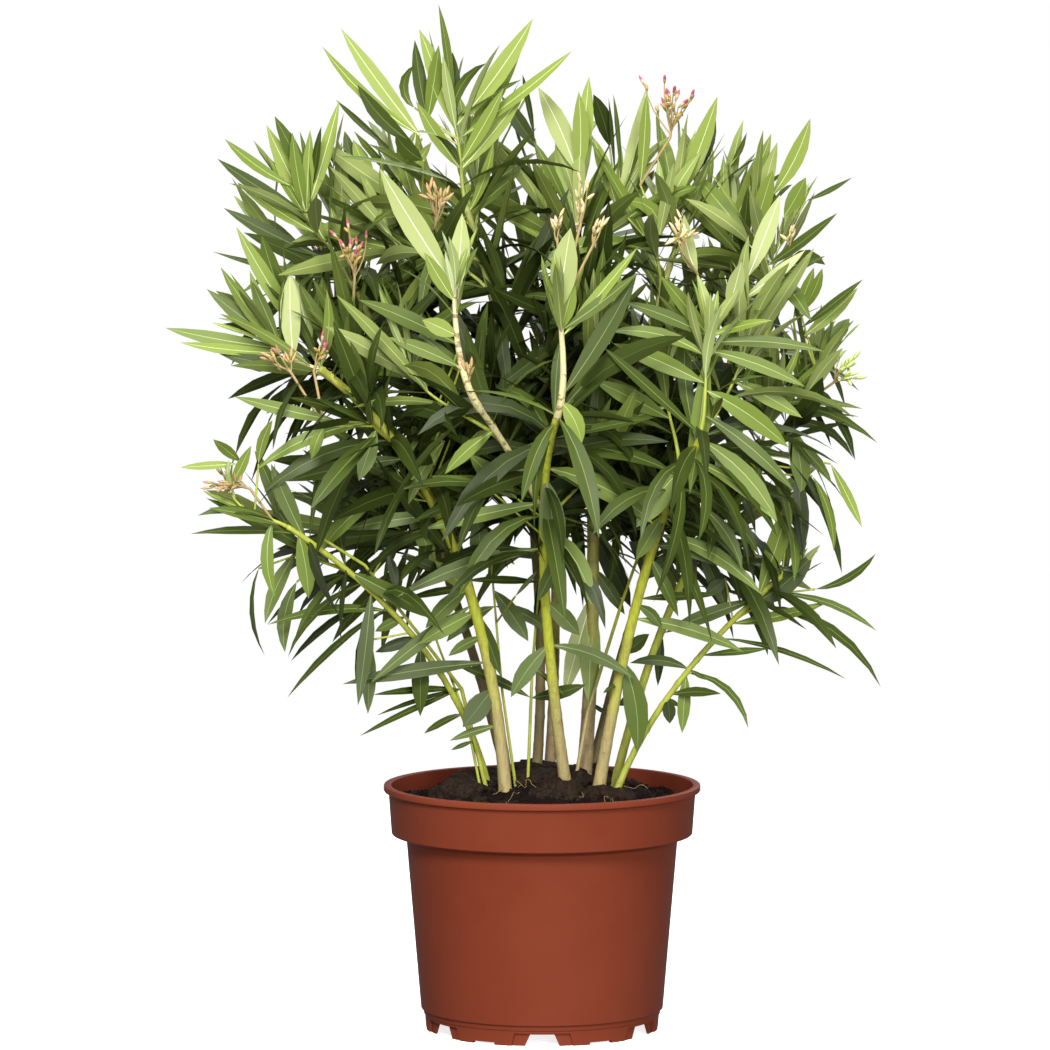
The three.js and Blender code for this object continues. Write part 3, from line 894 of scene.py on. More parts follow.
# how far leaves reach to the left, to the right and in depth at some heights, about the pot's axis
crownReach = {
    "height": (235, 260, 300, 340, 400, 440, 490, 530, 570, 610, 660, 700, 740, 765, 785, 810, 835),
    "left": (60, 150, 212, 238, 285, 285, 255, 260, 296, 272, 258, 262, 232, 182, 135, 100, 92),
    "right": (90, 150, 245, 262, 262, 268, 268, 262, 260, 258, 250, 232, 212, 150, 60, -20, -60),
    "deep": (80, 120, 185, 215, 240, 245, 250, 250, 245, 238, 220, 195, 160, 130, 100, 75, 45),
    "roundness": 2.6,
}


def insideCrown(points):
    # true for each place that lies within the crown's outline
    height, levels, power = points[..., 2], crownReach["height"], crownReach["roundness"]
    left, right, deep = (np.interp(height, levels, crownReach[key]) for key in ("left", "right", "deep"))
    across = (points[..., 0] - (right - left) / 2) / ((right + left) / 2)
    within = np.abs(across) ** power + np.abs(points[..., 1] / deep) ** power < 1
    return within & (height > levels[0]) & (height < levels[-1])


def trimCrown(leaves):
    # leaves that would reach out of the crown's outline are left off
    middles = traceLeaves(leaves)[0]
    kept = np.all(insideCrown(middles[:, 3:]), axis=1)
    return [leaf for leaf, stays in zip(leaves, kept) if stays]


def smoothShare(value):
    value = min(1, max(0, value))
    return value * value * (3 - 2 * value)


def shootRoute(start, heading, tip, pointing, curve):
    reach = (tip - start).length
    a, b = start + heading * reach * curve, tip - pointing * reach * curve

    def at(t):
        return (start * (1 - t) ** 3 + a * 3 * t * (1 - t) ** 2 + b * 3 * t * t * (1 - t) + tip * t ** 3)
    return at


def paintedShadeAt(point):
    # how far inside the crown a place lies, as steps of darker tone: painted shade for leaves deep in the
    # crown
    middle, half = growth["crownMiddle"], growth["crownHalf"]
    out = math.sqrt(sum(((point[i] - middle[i]) / half[i]) ** 2 for i in range(3)))
    return max(0, growth["shadeDepth"] - out) * growth["shadeTone"]


def toneOf(value):
    return int(min(len(toneNames) - 1, max(0, round(value))))


def passing(pair, share):
    # from the first value of a pair to its second
    return pair[0] + (pair[1] - pair[0]) * share


def addLeaf(draw, found, point, axis, around, q, settings):
    # one leaf at q millimetres below the growing tip: the further down, the more it spreads and hangs
    rule = growth
    acrossOne = axis.cross(Vector((0.3, 0.2, 1)) if abs(axis.z) < 0.9 else Vector((1, 0.2, 0))).normalized()
    radial = acrossOne * math.cos(around) + axis.cross(acrossOne) * math.sin(around)
    spread = smoothShare(q / rule["angleOver"]) ** rule["anglePower"]
    angle = passing((rule["tipAngle"], rule["lowAngle"]), spread)
    angle = math.radians(angle + draw.uniform(*rule["angleScatter"]))
    grown = passing((rule["tipLength"], 1), smoothShare(q / rule["fullLengthAt"]))
    length = settings["size"] * rule["lengthen"] * grown * draw.uniform(*rule["lengthScatter"])
    broad = passing(rule["widthShare"], smoothShare(q / rule["widthOver"]))
    droop = passing((rule["tipDroop"], rule["lowDroop"]), smoothShare(q / rule["droopOver"]))
    age = rule["ageTone"] * smoothShare(q / rule["ageOver"])
    # older leaves are darker, and leaves deep in the crown get painted shade on top
    tone = settings["tone"] + age + paintedShadeAt(point) + draw.gauss(0, rule["toneScatter"])
    found.append({
        "base": tuple(point + radial * rule["skin"]),
        "ahead": tuple(axis * math.cos(angle) + radial * math.sin(angle)),
        "face": tuple(axis * math.sin(angle) - radial * math.cos(angle)),
        "pivot": (0, 0, 0), "length": length,
        "width": length * broad * draw.uniform(*rule["widthScatter"]),
        "droop": math.radians(droop * settings["hang"] * draw.uniform(*rule["droopScatter"])),
        "curl": math.radians(draw.uniform(*rule["curl"])),
        "twist": math.radians(draw.gauss(0, rule["twist"])),
        "sway": math.radians(draw.gauss(0, rule["sway"])),
        "fold": math.radians(draw.uniform(*rule["fold"])),
        "wave": draw.uniform(*rule["wave"]), "tone": toneOf(tone),
    })


def leavesAlong(draw, at, reach, settings, found):
    # whorls of three from the tip downwards, each turned by half a step against the last
    rule = growth
    q, gap, turn = 0.0, rule["firstGap"], draw.uniform(*rule["firstTurn"])
    while q < min(settings["leafy"], reach * rule["leafyShare"]):
        t = 1 - q / reach
        point, axis = at(t), (at(min(1, t + 0.01)) - at(max(0, t - 0.01))).normalized()
        for k in range(rule["perWhorl"]):
            around = turn + 2 * math.pi * k / rule["perWhorl"] + draw.uniform(*rule["aroundScatter"])
            if q < rule["lossAfter"] or draw.random() > rule["loss"]:
                addLeaf(draw, found, point, axis, around, q, settings)
        turn += rule["turn"] + draw.uniform(*rule["turnScatter"])
        q += gap
        gap = min(rule["mostGap"], gap * rule["gapGrowth"]) * draw.uniform(*rule["gapScatter"])


def leavesOnLimb(draw, limb, lowest, settings, found):
    # old leaves stand along the upper stretch of a limb and hang more the lower they are
    rule = growth
    turn, along, length = draw.uniform(*rule["firstTurn"]), 0.0, limbLength(limb, 20)
    while along < length * (1 - lowest):
        t = 1 - along / length
        point = limbPoint(limb, t)
        axis = (limbPoint(limb, min(1, t + 0.01)) - limbPoint(limb, t - 0.01)).normalized()
        for k in range(rule["perWhorl"]):
            around = turn + 2 * math.pi * k / rule["perWhorl"] + draw.uniform(*rule["limbAround"])
            if draw.random() > rule["limbLoss"]:
                addLeaf(draw, found, point, axis, around, rule["limbAge"] + along, settings)
        turn += rule["turn"] + draw.uniform(*rule["turnScatter"])
        along += rule["limbGap"] * draw.uniform(*rule["limbGapScatter"])


# each mass of foliage: the limbs it grows from, the share of the first one's route above which that limb is
# clothed in leaves itself, its tone, and its sprays. A spray gives where its tip lies in the mass's box
# (share across, share deep, share up), its leaves' length in mm and, where they differ, its ways
crown = {
    "leaves_top_left": {"limbs": ["stem_middle"], "clothed": 0.52, "tone": 0.7, "sprays": [
        (0.62, 0.5, 0.5, 105, {"leafy": 70}), (0.36, 0.75, 0.2, 100), (0.72, 0.8, 0.25, 105),
        (0.32, 0.5, 0.0, 105), (0.58, 0.7, -0.05, 105)]},
    "leaves_upper_left": {"limbs": ["stem_back_left"], "clothed": 0.42, "tone": 2.5, "sprays": [
        (0.55, 0.4, 0.45, 100), (0.35, 0.6, 0.32, 98), (0.75, 0.65, 0.42, 100), (0.62, 0.85, 0.25, 100)]},
    "leaves_left": {"limbs": ["stem_front_left"], "clothed": 0.44, "tone": 3, "sprays": [
        (0.62, 0.62, 0.42, 95, {"leafy": 110}), (0.72, 0.85, 0.5, 95), (1.0, 0.7, 0.35, 105),
        (1.1, 0.3, 0.12, 105)]},
    "leaves_low_left": {"limbs": ["stem_low_left"], "clothed": 0.62, "tone": 3, "sprays": [
        (0.34, 0.5, 0.78, 42, {"leafy": 22, "tone": 1.5}), (0.7, 0.85, 0.6, 100, {"leafy": 90})]},
    "leaves_front_left": {"limbs": ["bough_front_left"], "tone": 0.9, "sprays": [
        (0.58, 0.5, 0.57, 70, {"leafy": 30, "tone": 0}), (0.2, 0.85, 0.3, 95),
        (0.75, 0.9, 0.2, 100, {"tone": 3})]},
    "leaves_front_centre": {"limbs": ["stem_centre"], "clothed": 0.47, "tone": 1.6, "sprays": [
        (0.42, 0.55, 0.5, 75, {"leafy": 30, "tone": 0.5}), (0.75, 0.85, 0.4, 100)]},
    "leaves_front_right": {"limbs": ["stem_front_right"], "clothed": 0.58, "tone": 1.5, "sprays": [
        (0.5, 0.6, 0.5, 75, {"leafy": 40, "tone": 0.5}), (0.75, 0.8, 0.5, 100), (0.25, 0.85, 0.4, 100)]},
    "leaves_top_centre": {"limbs": ["stem_thick"], "clothed": 0.46, "tone": 0.7, "sprays": [
        (0.55, 0.5, 0.36, 105, {"leafy": 110}), (0.32, 0.7, 0.4, 105), (0.85, 0.6, 0.4, 105)]},
    "leaves_top_right": {"limbs": ["bough_top_right"], "clothed": 0.3, "tone": 0.8, "sprays": [
        (0.5, 0.5, 0.45, 100), (0.8, 0.7, 0.4, 100), (0.3, 0.4, 0.3, 100)]},
    "leaves_upper_right": {"limbs": ["bough_upper_right"], "clothed": 0.2, "tone": 1.6, "sprays": [
        (0.3, 0.55, 0.45, 105), (0.48, 0.75, 0.35, 100), (0.15, 0.8, 0.45, 100)]},
    "leaves_right": {"limbs": ["stem_right"], "clothed": 0.5, "tone": 1.8, "sprays": [
        (0.45, 0.6, 0.5, 85), (0.3, 0.8, 0.4, 100), (0.0, 0.5, 0.3, 105)]},
    "leaves_far_right": {"limbs": ["stem_far_right"], "clothed": 0.9, "tone": 3, "sprays": [
        (0.3, 0.6, 0.45, 70, {"leafy": 14})]},
    "leaves_low_right": {"limbs": ["stem_front_right", "stem_right"], "tone": 2.6, "sprays": [
        (0.5, 0.75, 0.85, 105, {"leafy": 70}), (0.2, 0.8, 1.0, 105, {"leafy": 70})]},
    "leaves_low_front": {"limbs": ["stem_centre"], "tone": 2.8, "sprays": [
        (0.75, 0.9, 0.85, 105, {"leafy": 80})]},
    "leaves_low_middle_left": {"limbs": ["stem_front_left"], "tone": 3.4, "sprays": [
        (0.62, 0.7, 0.85, 105, {"leafy": 80}), (0.3, 0.8, 0.85, 105, {"leafy": 70}),
        (0.4, 0.6, 1.05, 105, {"leafy": 110})]},
    # leaves deep inside the crown take a dark tone, partly for their age and partly as painted shade
    "leaves_inner": {"limbs": ["stem_middle", "stem_thick", "stem_back_left"], "tone": 4, "sprays": [
        (0.3, 0.4, 0.6, 110), (0.5, 0.3, 0.8, 110), (0.7, 0.4, 0.6, 110), (0.4, 0.6, 0.5, 110),
        (0.6, 0.6, 0.9, 110), (0.85, 0.5, 0.8, 110), (0.15, 0.5, 0.85, 110), (0.25, 0.7, 0.7, 110),
        (0.75, 0.7, 0.5, 110), (0.1, 0.2, 0.4, 110), (0.35, 0.1, 0.4, 110), (0.6, 0.15, 0.45, 110),
        (0.9, 0.25, 0.45, 110), (0.5, 0.8, 0.25, 110), (0.2, 0.8, 0.4, 110), (0.8, 0.85, 0.35, 110),
        (0.35, 0.5, 1.0, 110), (0.6, 0.2, 1.0, 110), (0.05, 0.6, 1.1, 110)]},
    "leaves_back_top": {"limbs": ["bough_back_top"], "clothed": 0.1, "tone": 1.4, "sprays": [
        (0.3, 0.5, 0.55, 105), (0.5, 0.6, 0.62, 108), (0.7, 0.5, 0.55, 105), (0.4, 0.75, 0.4, 105),
        (0.65, 0.7, 0.35, 105)]},
    "leaves_back_left": {"limbs": ["stem_rear_left"], "clothed": 0.48, "tone": 1.8, "sprays": [
        (0.35, 0.5, 0.55, 105), (0.5, 0.4, 0.65, 105), (0.7, 0.5, 0.55, 105), (0.45, 0.75, 0.45, 105),
        (0.65, 0.7, 0.6, 105)]},
    "leaves_back_right": {"limbs": ["stem_rear_right"], "clothed": 0.48, "tone": 1.8, "sprays": [
        (0.65, 0.5, 0.55, 105), (0.5, 0.4, 0.65, 105), (0.3, 0.5, 0.55, 105), (0.55, 0.75, 0.45, 105),
        (0.35, 0.7, 0.6, 105)]},
    "leaves_back": {"limbs": ["stem_back"], "clothed": 0.52, "tone": 2, "sprays": [
        (0.3, 0.5, 0.6, 105), (0.5, 0.55, 0.7, 105), (0.7, 0.5, 0.6, 105), (0.45, 0.7, 0.45, 105)]},
    "leaves_back_low_left": {"limbs": ["stem_rear_left"], "tone": 3, "sprays": [
        (0.35, 0.5, 0.7, 105, {"leafy": 110, "hang": 1.3}),
        (0.6, 0.6, 0.65, 105, {"leafy": 100, "hang": 1.3}),
        (0.8, 0.3, 0.75, 105, {"leafy": 110, "hang": 1.3})]},
    "leaves_back_low_right": {"limbs": ["stem_rear_right"], "tone": 3, "sprays": [
        (0.65, 0.5, 0.7, 105, {"leafy": 110, "hang": 1.3}),
        (0.4, 0.6, 0.65, 105, {"leafy": 100, "hang": 1.3}),
        (0.2, 0.3, 0.75, 105, {"leafy": 110, "hang": 1.3})]},
}
regions = {
    "front": ["leaves_front_left", "leaves_front_centre", "leaves_front_right", "leaves_low_front"],
    "left": ["leaves_upper_left", "leaves_left", "leaves_low_left", "leaves_low_middle_left"],
    "right": ["leaves_upper_right", "leaves_right", "leaves_far_right", "leaves_low_right"],
    "top": ["leaves_top_left", "leaves_top_centre", "leaves_top_right"],
    "back": ["leaves_back_top", "leaves_back_left", "leaves_back_right", "leaves_back",
             "leaves_back_low_left", "leaves_back_low_right"],
    "inner": ["leaves_inner"],
}

# leaves that stand out, chosen one by one. Each gives its joint (across, height) and its tip (across,
# height) as seen from the front in the plane of the pot's axis, its width, its tone, how far it bends
# clockwise as it goes out, and how far its blade is rolled upwards from facing the front; "on" names further
# limbs they grow on, where "thin" stands for the thin shoots. A darker tone given to a leaf that stands in
# shade is painted shade
chosenLeaves = {
    "leaves_top_left": {"leaves": [
        (-98, 732, -164, 821, 14, 1, 6, 8), (-100, 735, -180, 806, 10, 2, 25, 30),
        (-105, 728, -151, 775, 13, 5, 28, 0), (-67, 737, -100, 821, 15, 1, -5, 5),
        (-92, 742, -104, 812, 12, 5, 10, 10), (-94, 745, -84, 808, 12, 3, -5, 0),
        (-68, 751, -84, 841, 13, 3, -8, 62), (-104, 757, -105, 792, 9, 4, 110, 20),
        (-62, 751, -47, 794, 10, 4, 70, 20), (-64, 759, -73, 802, 14, 6, 5, 0),
        (-62, 745, -7, 829, 16, 1, -12, 5), (-65, 706, -13, 772, 13, 1, -8, 10),
        (-50, 735, 25, 803, 12, 2, -8, 45), (-56, 752, -17, 780, 10, 5, 10, 62),
        (-82, 707, -103, 762, 12, 2, 8, 0), (-81, 712, -31, 773, 12, 2, -5, 15),
        (-97, 714, -120, 735, 14, 5, 30, 0), (-120, 720, -168, 763, 9, 5, 8, 70),
        (-102, 681, -118, 731, 12, 1, 5, 0), (-121, 693, -90, 729, 10, 1, 0, 20),
        (-56, 661, -67, 710, 10, 2, -15, 30), (-56, 673, -39, 729, 10, 2, -20, 40),
        (-67, 682, -7, 720, 11, 5, -8, 10), (-64, 668, -18, 705, 10, 4, 0, 20)]},
    "leaves_upper_left": {"leaves": [
        (-182, 687, -165, 763, 12, 1, -5, 0), (-188, 690, -205, 737, 12, 5, 5, 0),
        (-174, 648, -225, 743, 18, 1, 5, 5), (-204, 693, -259, 731, 10, 3, 20, 25),
        (-199, 671, -265, 715, 11, 5, 12, 20), (-187, 651, -249, 696, 11, 2, 10, 25),
        (-182, 636, -260, 675, 12, 5, 8, 10), (-190, 700, -218, 750, 12, 4, 5, 0),
        (-187, 687, -204, 737, 11, 3, 10, 0), (-182, 684, -189, 739, 10, 2, 0, 0),
        (-187, 693, -180, 742, 9, 5, 5, 40), (-152, 702, -161, 738, 10, 5, 0, 0),
        (-138, 687, -154, 731, 14, 1, -8, 0), (-120, 668, -176, 720, 13, 4, -6, 10),
        (-155, 662, -172, 695, 9, 2, 0, 10), (-154, 626, -173, 677, 11, 1, 0, 0),
        (-151, 642, -152, 675, 9, 2, 0, 62), (-155, 615, -269, 639, 10, 5, 12, 45)]},
    "leaves_left": {"leaves": [
        (-202, 568, -308, 577, 12, 3, 8, 15), (-204, 561, -296, 565, 11, 2, 10, 35),
        (-204, 570, -274, 609, 12, 4, 8, 10), (-202, 564, -263, 627, 11, 3, 12, 0),
        (-198, 564, -250, 660, 14, 2, 6, 0), (-212, 600, -229, 653, 14, 4, 4, 0),
        (-200, 560, -206, 623, 17, 0, 8, 0), (-196, 560, -203, 619, 15, 0, -14, 0),
        (-190, 562, -179, 619, 10, 4, -3, 30), (-182, 550, -175, 609, 10, 2, -30, 10),
        (-187, 528, -264, 556, 13, 5, 8, 10), (-169, 528, -154, 606, 11, 4, -12, 20),
        (-67, 563, -150, 601, 14, 4, -10, 10), (-67, 545, -126, 570, 12, 3, -12, 10),
        (-67, 528, -121, 544, 13, 4, -8, 10), (-166, 501, -252, 521, 11, 3, 6, 15),
        (-151, 488, -234, 463, 12, 3, -35, 15), (-124, 462, -210, 452, 15, 4, -10, 10),
        (-145, 479, -150, 452, 15, 3, 0, 0), (-178, 497, -189, 470, 10, 3, -20, 0),
        (-130, 441, -184, 392, 13, 3, -30, 10)]},
    "leaves_low_left": {"leaves": [
        (-249, 466, -296, 463, 8, 2, 0, 35), (-247, 468, -269, 486, 9, 3, 0, 0),
        (-232, 466, -221, 502, 9, 2, 25, 10), (-247, 458, -238, 481, 9, 2, 0, 0),
        (-189, 418, -222, 466, 14, 4, 5, 0), (-207, 432, -282, 425, 10, 5, -50, 62),
        (-207, 427, -273, 430, 11, 4, -10, 45), (-193, 418, -288, 409, 11, 5, -15, 45),
        (-222, 412, -220, 356, 11, 3, -40, 0), (-199, 410, -191, 355, 15, 3, 15, 0),
        (-207, 389, -228, 335, 12, 3, -25, 0), (-201, 369, -212, 311, 12, 4, -40, 0),
        (-232, 380, -229, 308, 9, 5, -50, 55), (-149, 364, -210, 308, 11, 5, -50, 58),
        (-120, 346, -225, 335, 11, 4, -30, 45)]},
    "leaves_low_middle_left": {"on": ["stem_low_left", "stem_centre", "thin"], "leaves": [
        (-153, 348, -151, 267, 13, 5, 4, 0), (-141, 321, -143, 260, 12, 4, 0, 0),
        (-139, 333, -210, 274, 11, 5, -20, 58), (-64, 346, -141, 286, 12, 4, -8, 15),
        (-56, 298, -164, 285, 13, 5, -8, 20), (-59, 283, -139, 276, 9, 4, -10, 50),
        (-67, 280, -150, 242, 8, 5, -8, 58), (-104, 315, -100, 258, 15, 5, 0, 0),
        (-72, 257, -97, 244, 8, 5, -20, 40), (-162, 371, -87, 338, 15, 4, 8, 0),
        (-67, 429, -162, 412, 12, 4, -12, 10), (-116, 456, -87, 374, 16, 3, 10, 0),
        (-67, 506, -112, 473, 13, 3, -25, 0), (-80, 485, -110, 433, 12, 3, -25, 10),
        (-18, 433, -99, 412, 12, 3, -6, 15), (-54, 423, -50, 379, 18, 4, 15, 0),
        (-3, 398, -119, 358, 13, 4, -24, 15), (-38, 358, -11, 320, 15, 4, 10, 0),
        (-52, 281, -65, 249, 19, 5, 0, 0), (-43, 354, -79, 320, 12, 4, -35, 10),
        (-56, 373, -2, 369, 9, 5, 8, 50), (-67, 364, -88, 386, 12, 2, 8, 0),
        (-70, 361, -116, 391, 10, 6, -20, 20), (-68, 361, -112, 355, 9, 5, -12, 35),
        (-70, 360, -96, 331, 14, 4, -15, 10), (-40, 353, 8, 327, 10, 4, 42, 10),
        (-57, 341, -34, 292, 12, 5, 8, 0), (-11, 277, -71, 301, 9, 5, -14, 20),
        (-67, 280, -136, 259, 6, 5, -12, 50), (-32, 249, -76, 238, 7, 4, -12, 20),
        (-48, 239, -75, 230, 4, 5, -6, 20), (-64, 338, -101, 318, 14, 3, -10, 0),
        (-61, 321, -77, 308, 9, 4, -20, 0), (-98, 330, -137, 311, 10, 6, -8, 20),
        (-104, 341, -137, 328, 9, 4, -6, 20), (-128, 394, -120, 360, 8, 6, 34, 0),
        (-5, 273, 36, 284, 11, 5, -12, 0), (-17, 297, 18, 276, 5, 4, 12, 20),
        (-22, 357, -3, 379, 4, 5, 0, 20)]},
    "leaves_front_left": {"leaves": [
        (-68, 621, -133, 708, 20, 0, 4, 0), (-57, 604, -65, 671, 16, 0, -8, 0),
        (-65, 601, -96, 639, 12, 1, 5, 0), (-67, 570, -98, 584, 14, 1, -8, 0),
        (-31, 497, -80, 458, 12, 3, -20, 10)]},
    "leaves_front_centre": {"leaves": [
        (11, 593, 23, 659, 22, 0, 5, 0), (8, 574, 26, 615, 13, 2, 0, 0), (17, 568, 78, 643, 11, 2, -5, 20),
        (9, 572, 78, 622, 11, 4, -8, 10), (6, 523, 78, 622, 16, 5, -10, 0), (5, 518, 33, 483, 15, 2, 35, 0),
        (-6, 489, -29, 459, 15, 4, -10, 0), (-20, 437, -60, 474, 17, 4, 5, 0),
        (-41, 443, -91, 456, 14, 3, 5, 0)]},
    "leaves_low_front": {"on": ["stem_thick", "stem_front_right"], "leaves": [
        (-10, 456, 11, 381, 21, 4, 12, 0), (11, 412, 42, 350, 17, 3, 45, 0),
        # the second and third leaves on the next line hang pale: their palest tones stand for their pale
        # undersides and, as painted light, for light shining through them
        (21, 458, 92, 418, 18, 3, 35, 0), (36, 360, 18, 275, 17, 0, 0, 0), (52, 356, 38, 268, 17, 1, 0, 0),
        (8, 351, 31, 325, 15, 4, 10, 0), (45, 406, 73, 348, 17, 6, 10, 0), (44, 378, 68, 342, 11, 4, 8, 0),
        (19, 319, 75, 291, 11, 4, 35, 20), (-8, 317, -26, 274, 15, 4, -20, 0),
        (55, 314, 88, 326, 12, 6, 0, 0), (40, 269, 55, 259, 4, 5, 0, 0), (22, 400, -4, 352, 12, 5, -10, 10),
        (14, 372, 36, 404, 9, 6, 8, 0)]},
    "leaves_front_right": {"leaves": [
        (127, 621, 115, 670, 14, 0, 30, 0), (152, 590, 163, 632, 14, 0, 0, 0),
        (119, 553, 55, 576, 11, 3, -45, 20), (129, 574, 66, 599, 11, 4, -15, 10),
        (128, 577, 96, 621, 12, 3, -5, 0), (133, 572, 188, 584, 10, 2, 15, 35),
        (135, 565, 231, 559, 11, 4, 22, 15), (138, 560, 215, 530, 12, 3, 20, 10),
        (115, 532, 58, 565, 15, 3, -10, 0), (85, 500, 42, 535, 15, 3, -6, 0),
        (135, 558, 121, 441, 16, 3, 6, 0), (104, 512, 44, 490, 12, 3, -15, 15),
        (109, 458, 77, 414, 22, 3, -15, 0), (98, 427, 77, 387, 14, 3, -5, 0),
        (168, 619, 194, 686, 15, 0, -5, 0), (162, 599, 215, 641, 10, 0, -5, 30),
        (130, 508, 207, 444, 12, 4, 20, 10), (140, 527, 202, 480, 17, 3, 20, 0),
        (153, 535, 213, 504, 13, 2, 12, 0), (128, 485, 194, 419, 16, 3, 35, 0),
        (130, 464, 192, 420, 11, 3, 35, 30)]},
    "leaves_top_centre": {"leaves": [
        (28, 704, -3, 774, 18, 0, -15, 0), (33, 706, 38, 782, 14, 1, 5, 0),
        (30, 700, 30, 770, 14, 1, -10, 0), (-4, 723, -33, 766, 13, 5, 0, 0),
        (-6, 732, -16, 784, 9, 5, 0, 68), (57, 686, 86, 774, 16, 0, -15, 0),
        (57, 688, 41, 734, 12, 1, -8, 0), (55, 725, 42, 768, 14, 6, -15, 0),
        (59, 705, 54, 765, 8, 5, 0, 60), (64, 700, 58, 768, 8, 4, -5, 60)]},
    "leaves_top_right": {"leaves": [
        (80, 694, 85, 768, 10, 2, -5, 0), (104, 694, 143, 766, 15, 1, -8, 0),
        (128, 705, 140, 755, 12, 6, -8, 0), (70, 667, 129, 694, 11, 3, 25, 0),
        (83, 652, 66, 682, 12, 2, -120, 0), (153, 708, 167, 737, 8, 5, -20, 55)]},
    "leaves_upper_right": {"leaves": [
        (138, 661, 187, 736, 16, 1, -8, 0), (187, 685, 219, 748, 14, 1, -22, 0),
        (197, 668, 215, 700, 14, 3, -10, 0), (215, 681, 253, 700, 8, 5, -12, 58),
        (168, 668, 188, 706, 14, 2, 0, 0), (163, 635, 168, 693, 10, 5, 0, 0),
        (178, 626, 241, 671, 11, 5, -8, 25), (175, 612, 231, 636, 9, 5, -5, 50)]},
    "leaves_right": {"leaves": [
        (211, 590, 229, 626, 10, 3, -20, 0), (205, 585, 222, 627, 10, 3, -10, 0),
        (213, 570, 258, 610, 12, 1, -10, 0), (211, 577, 262, 617, 9, 5, -5, 50),
        (235, 565, 251, 585, 12, 4, 0, 0), (182, 522, 275, 485, 11, 5, 45, 45),
        (180, 514, 262, 512, 10, 4, 25, 50), (196, 493, 238, 450, 11, 4, 30, 25),
        (205, 493, 213, 441, 17, 3, 30, 0), (236, 466, 262, 414, 9, 2, 5, 25),
        (221, 456, 240, 394, 9, 3, 35, 25), (209, 462, 213, 390, 14, 6, 5, 0)]},
    "leaves_far_right": {"leaves": [
        (169, 369, 205, 441, 17, 2, -5, 0), (202, 419, 207, 369, 9, 3, 25, 30),
        (169, 348, 223, 392, 19, 5, -30, 0), (224, 363, 274, 391, 8, 5, -45, 40),
        (206, 346, 275, 330, 8, 4, 38, 40), (183, 339, 280, 285, 10, 5, 62, 35),
        (153, 315, 250, 290, 6, 5, 26, 50), (150, 336, 235, 352, 11, 3, -14, 35),
        (130, 310, 186, 314, 8, 4, 0, 50)]},
    "leaves_low_right": {"on": ["stem_far_right", "stem_thick"], "leaves": [
        (117, 296, 171, 250, 7, 4, 78, 35), (96, 281, 147, 277, 9, 5, 18, 30),
        (114, 299, 115, 244, 11, 3, 0, 0), (97, 275, 105, 252, 11, 6, 10, 0),
        (105, 402, 181, 360, 13, 3, 42, 15), (77, 340, 166, 312, 12, 3, 24, 10),
        (80, 355, 146, 359, 9, 5, 0, 50), (172, 358, 100, 327, 12, 4, -10, 15),
        (92, 400, 161, 379, 13, 4, 35, 15), (75, 302, 79, 228, 20, 4, 30, 0),
        (105, 386, 112, 340, 11, 4, 5, 0), (130, 431, 165, 379, 11, 4, 40, 20),
        (78, 352, 98, 331, 9, 4, 55, 0), (113, 301, 72, 303, 9, 5, -45, 10),
        (117, 300, 136, 288, 4, 4, 0, 0), (97, 276, 113, 266, 4, 5, 0, 0),
        (82, 276, 62, 267, 8, 5, -20, 20), (75, 281, 50, 277, 4, 5, -10, 20),
        (92, 333, 95, 283, 8, 6, 0, 0), (120, 386, 117, 364, 8, 5, 0, 0),
        (118, 396, 85, 371, 12, 4, -15, 0), (143, 391, 152, 345, 14, 5, 14, 0),
        (165, 412, 173, 373, 9, 6, 5, 0), (150, 372, 134, 359, 12, 5, 20, 0)]},
}
chosenWays = {
    "joinWithin": 20, "frontFirst": 0.15, "below": 0.9, "stalk": 0.9, "stalkSteps": 4, "lean": (-22, 6),
    "twist": 12, "fold": (4, 11), "wave": (0, 0.4), "toneScatter": (-0.4, 0.4), "seed": 404,
}


def sighted(across, deep, height):
    # the place at this depth that stands behind or before a place in the plane of the pot's axis
    return eye + (Vector((across, 0, height)) - eye) * ((camera["away"] + deep) / camera["away"])


def asSeen(point):
    # where a place shows in the plane of the pot's axis
    return eye + (Vector(point) - eye) * (camera["away"] / (camera["away"] + point[1]))


def placeChosen(mass, perches, twigs, found):
    # perches are places along the limbs and shoots. Each chosen leaf stands on the nearest one, or on a
    # short side stalk from one further down where none is near
    ways, draw = chosenWays, random.Random(chosenWays["seed"] + len(mass))
    shown = [asSeen(perch) for perch in perches]

    def nearestPerch(x, z):
        # of the places near this one, those further to the front come first
        away = [math.hypot(spot.x - x, spot.z - z) for spot in shown]
        best = min(range(len(away)), key=lambda i: away[i] + ways["frontFirst"] * perches[i].y)
        return perches[best], away[best]

    for x0, z0, x1, z1, width, tone, bow, roll in chosenLeaves[mass]["leaves"]:
        perch, gap = nearestPerch(x0, z0)
        joint = perch.copy()
        if gap > ways["joinWithin"]:
            joint = sighted(x0, joint.y, z0)
            root, steps = nearestPerch(x0, z0 - ways["below"] * gap)[0], ways["stalkSteps"]
            twigs.append([(root.lerp(joint, i / steps), ways["stalk"]) for i in range(steps + 1)])
        chord = sighted(x1, joint.y + draw.uniform(*ways["lean"]), z1) - joint
        heading = chord.normalized()
        pivot = (Vector((0, 1, 0)) - heading * heading.y).normalized()
        bow, roll = math.radians(bow), math.radians(roll)
        longer = (bow / 2) / math.sin(bow / 2) if bow else 1
        ahead = Matrix.Rotation(-bow / 2, 3, pivot) @ heading
        upish = ahead.cross(pivot)
        if upish.z < 0:
            upish.negate()
        found.append({
            "base": tuple(joint), "ahead": tuple(ahead), "pivot": tuple(pivot),
            "face": tuple(upish * math.sin(roll) - pivot * math.cos(roll)),
            "length": chord.length * longer, "width": width, "droop": 0, "curl": 0, "sway": bow,
            "twist": math.radians(draw.gauss(0, ways["twist"])),
            "fold": math.radians(draw.uniform(*ways["fold"])), "wave": draw.uniform(*ways["wave"]),
            "tone": toneOf(tone + draw.uniform(*ways["toneScatter"])),
        })


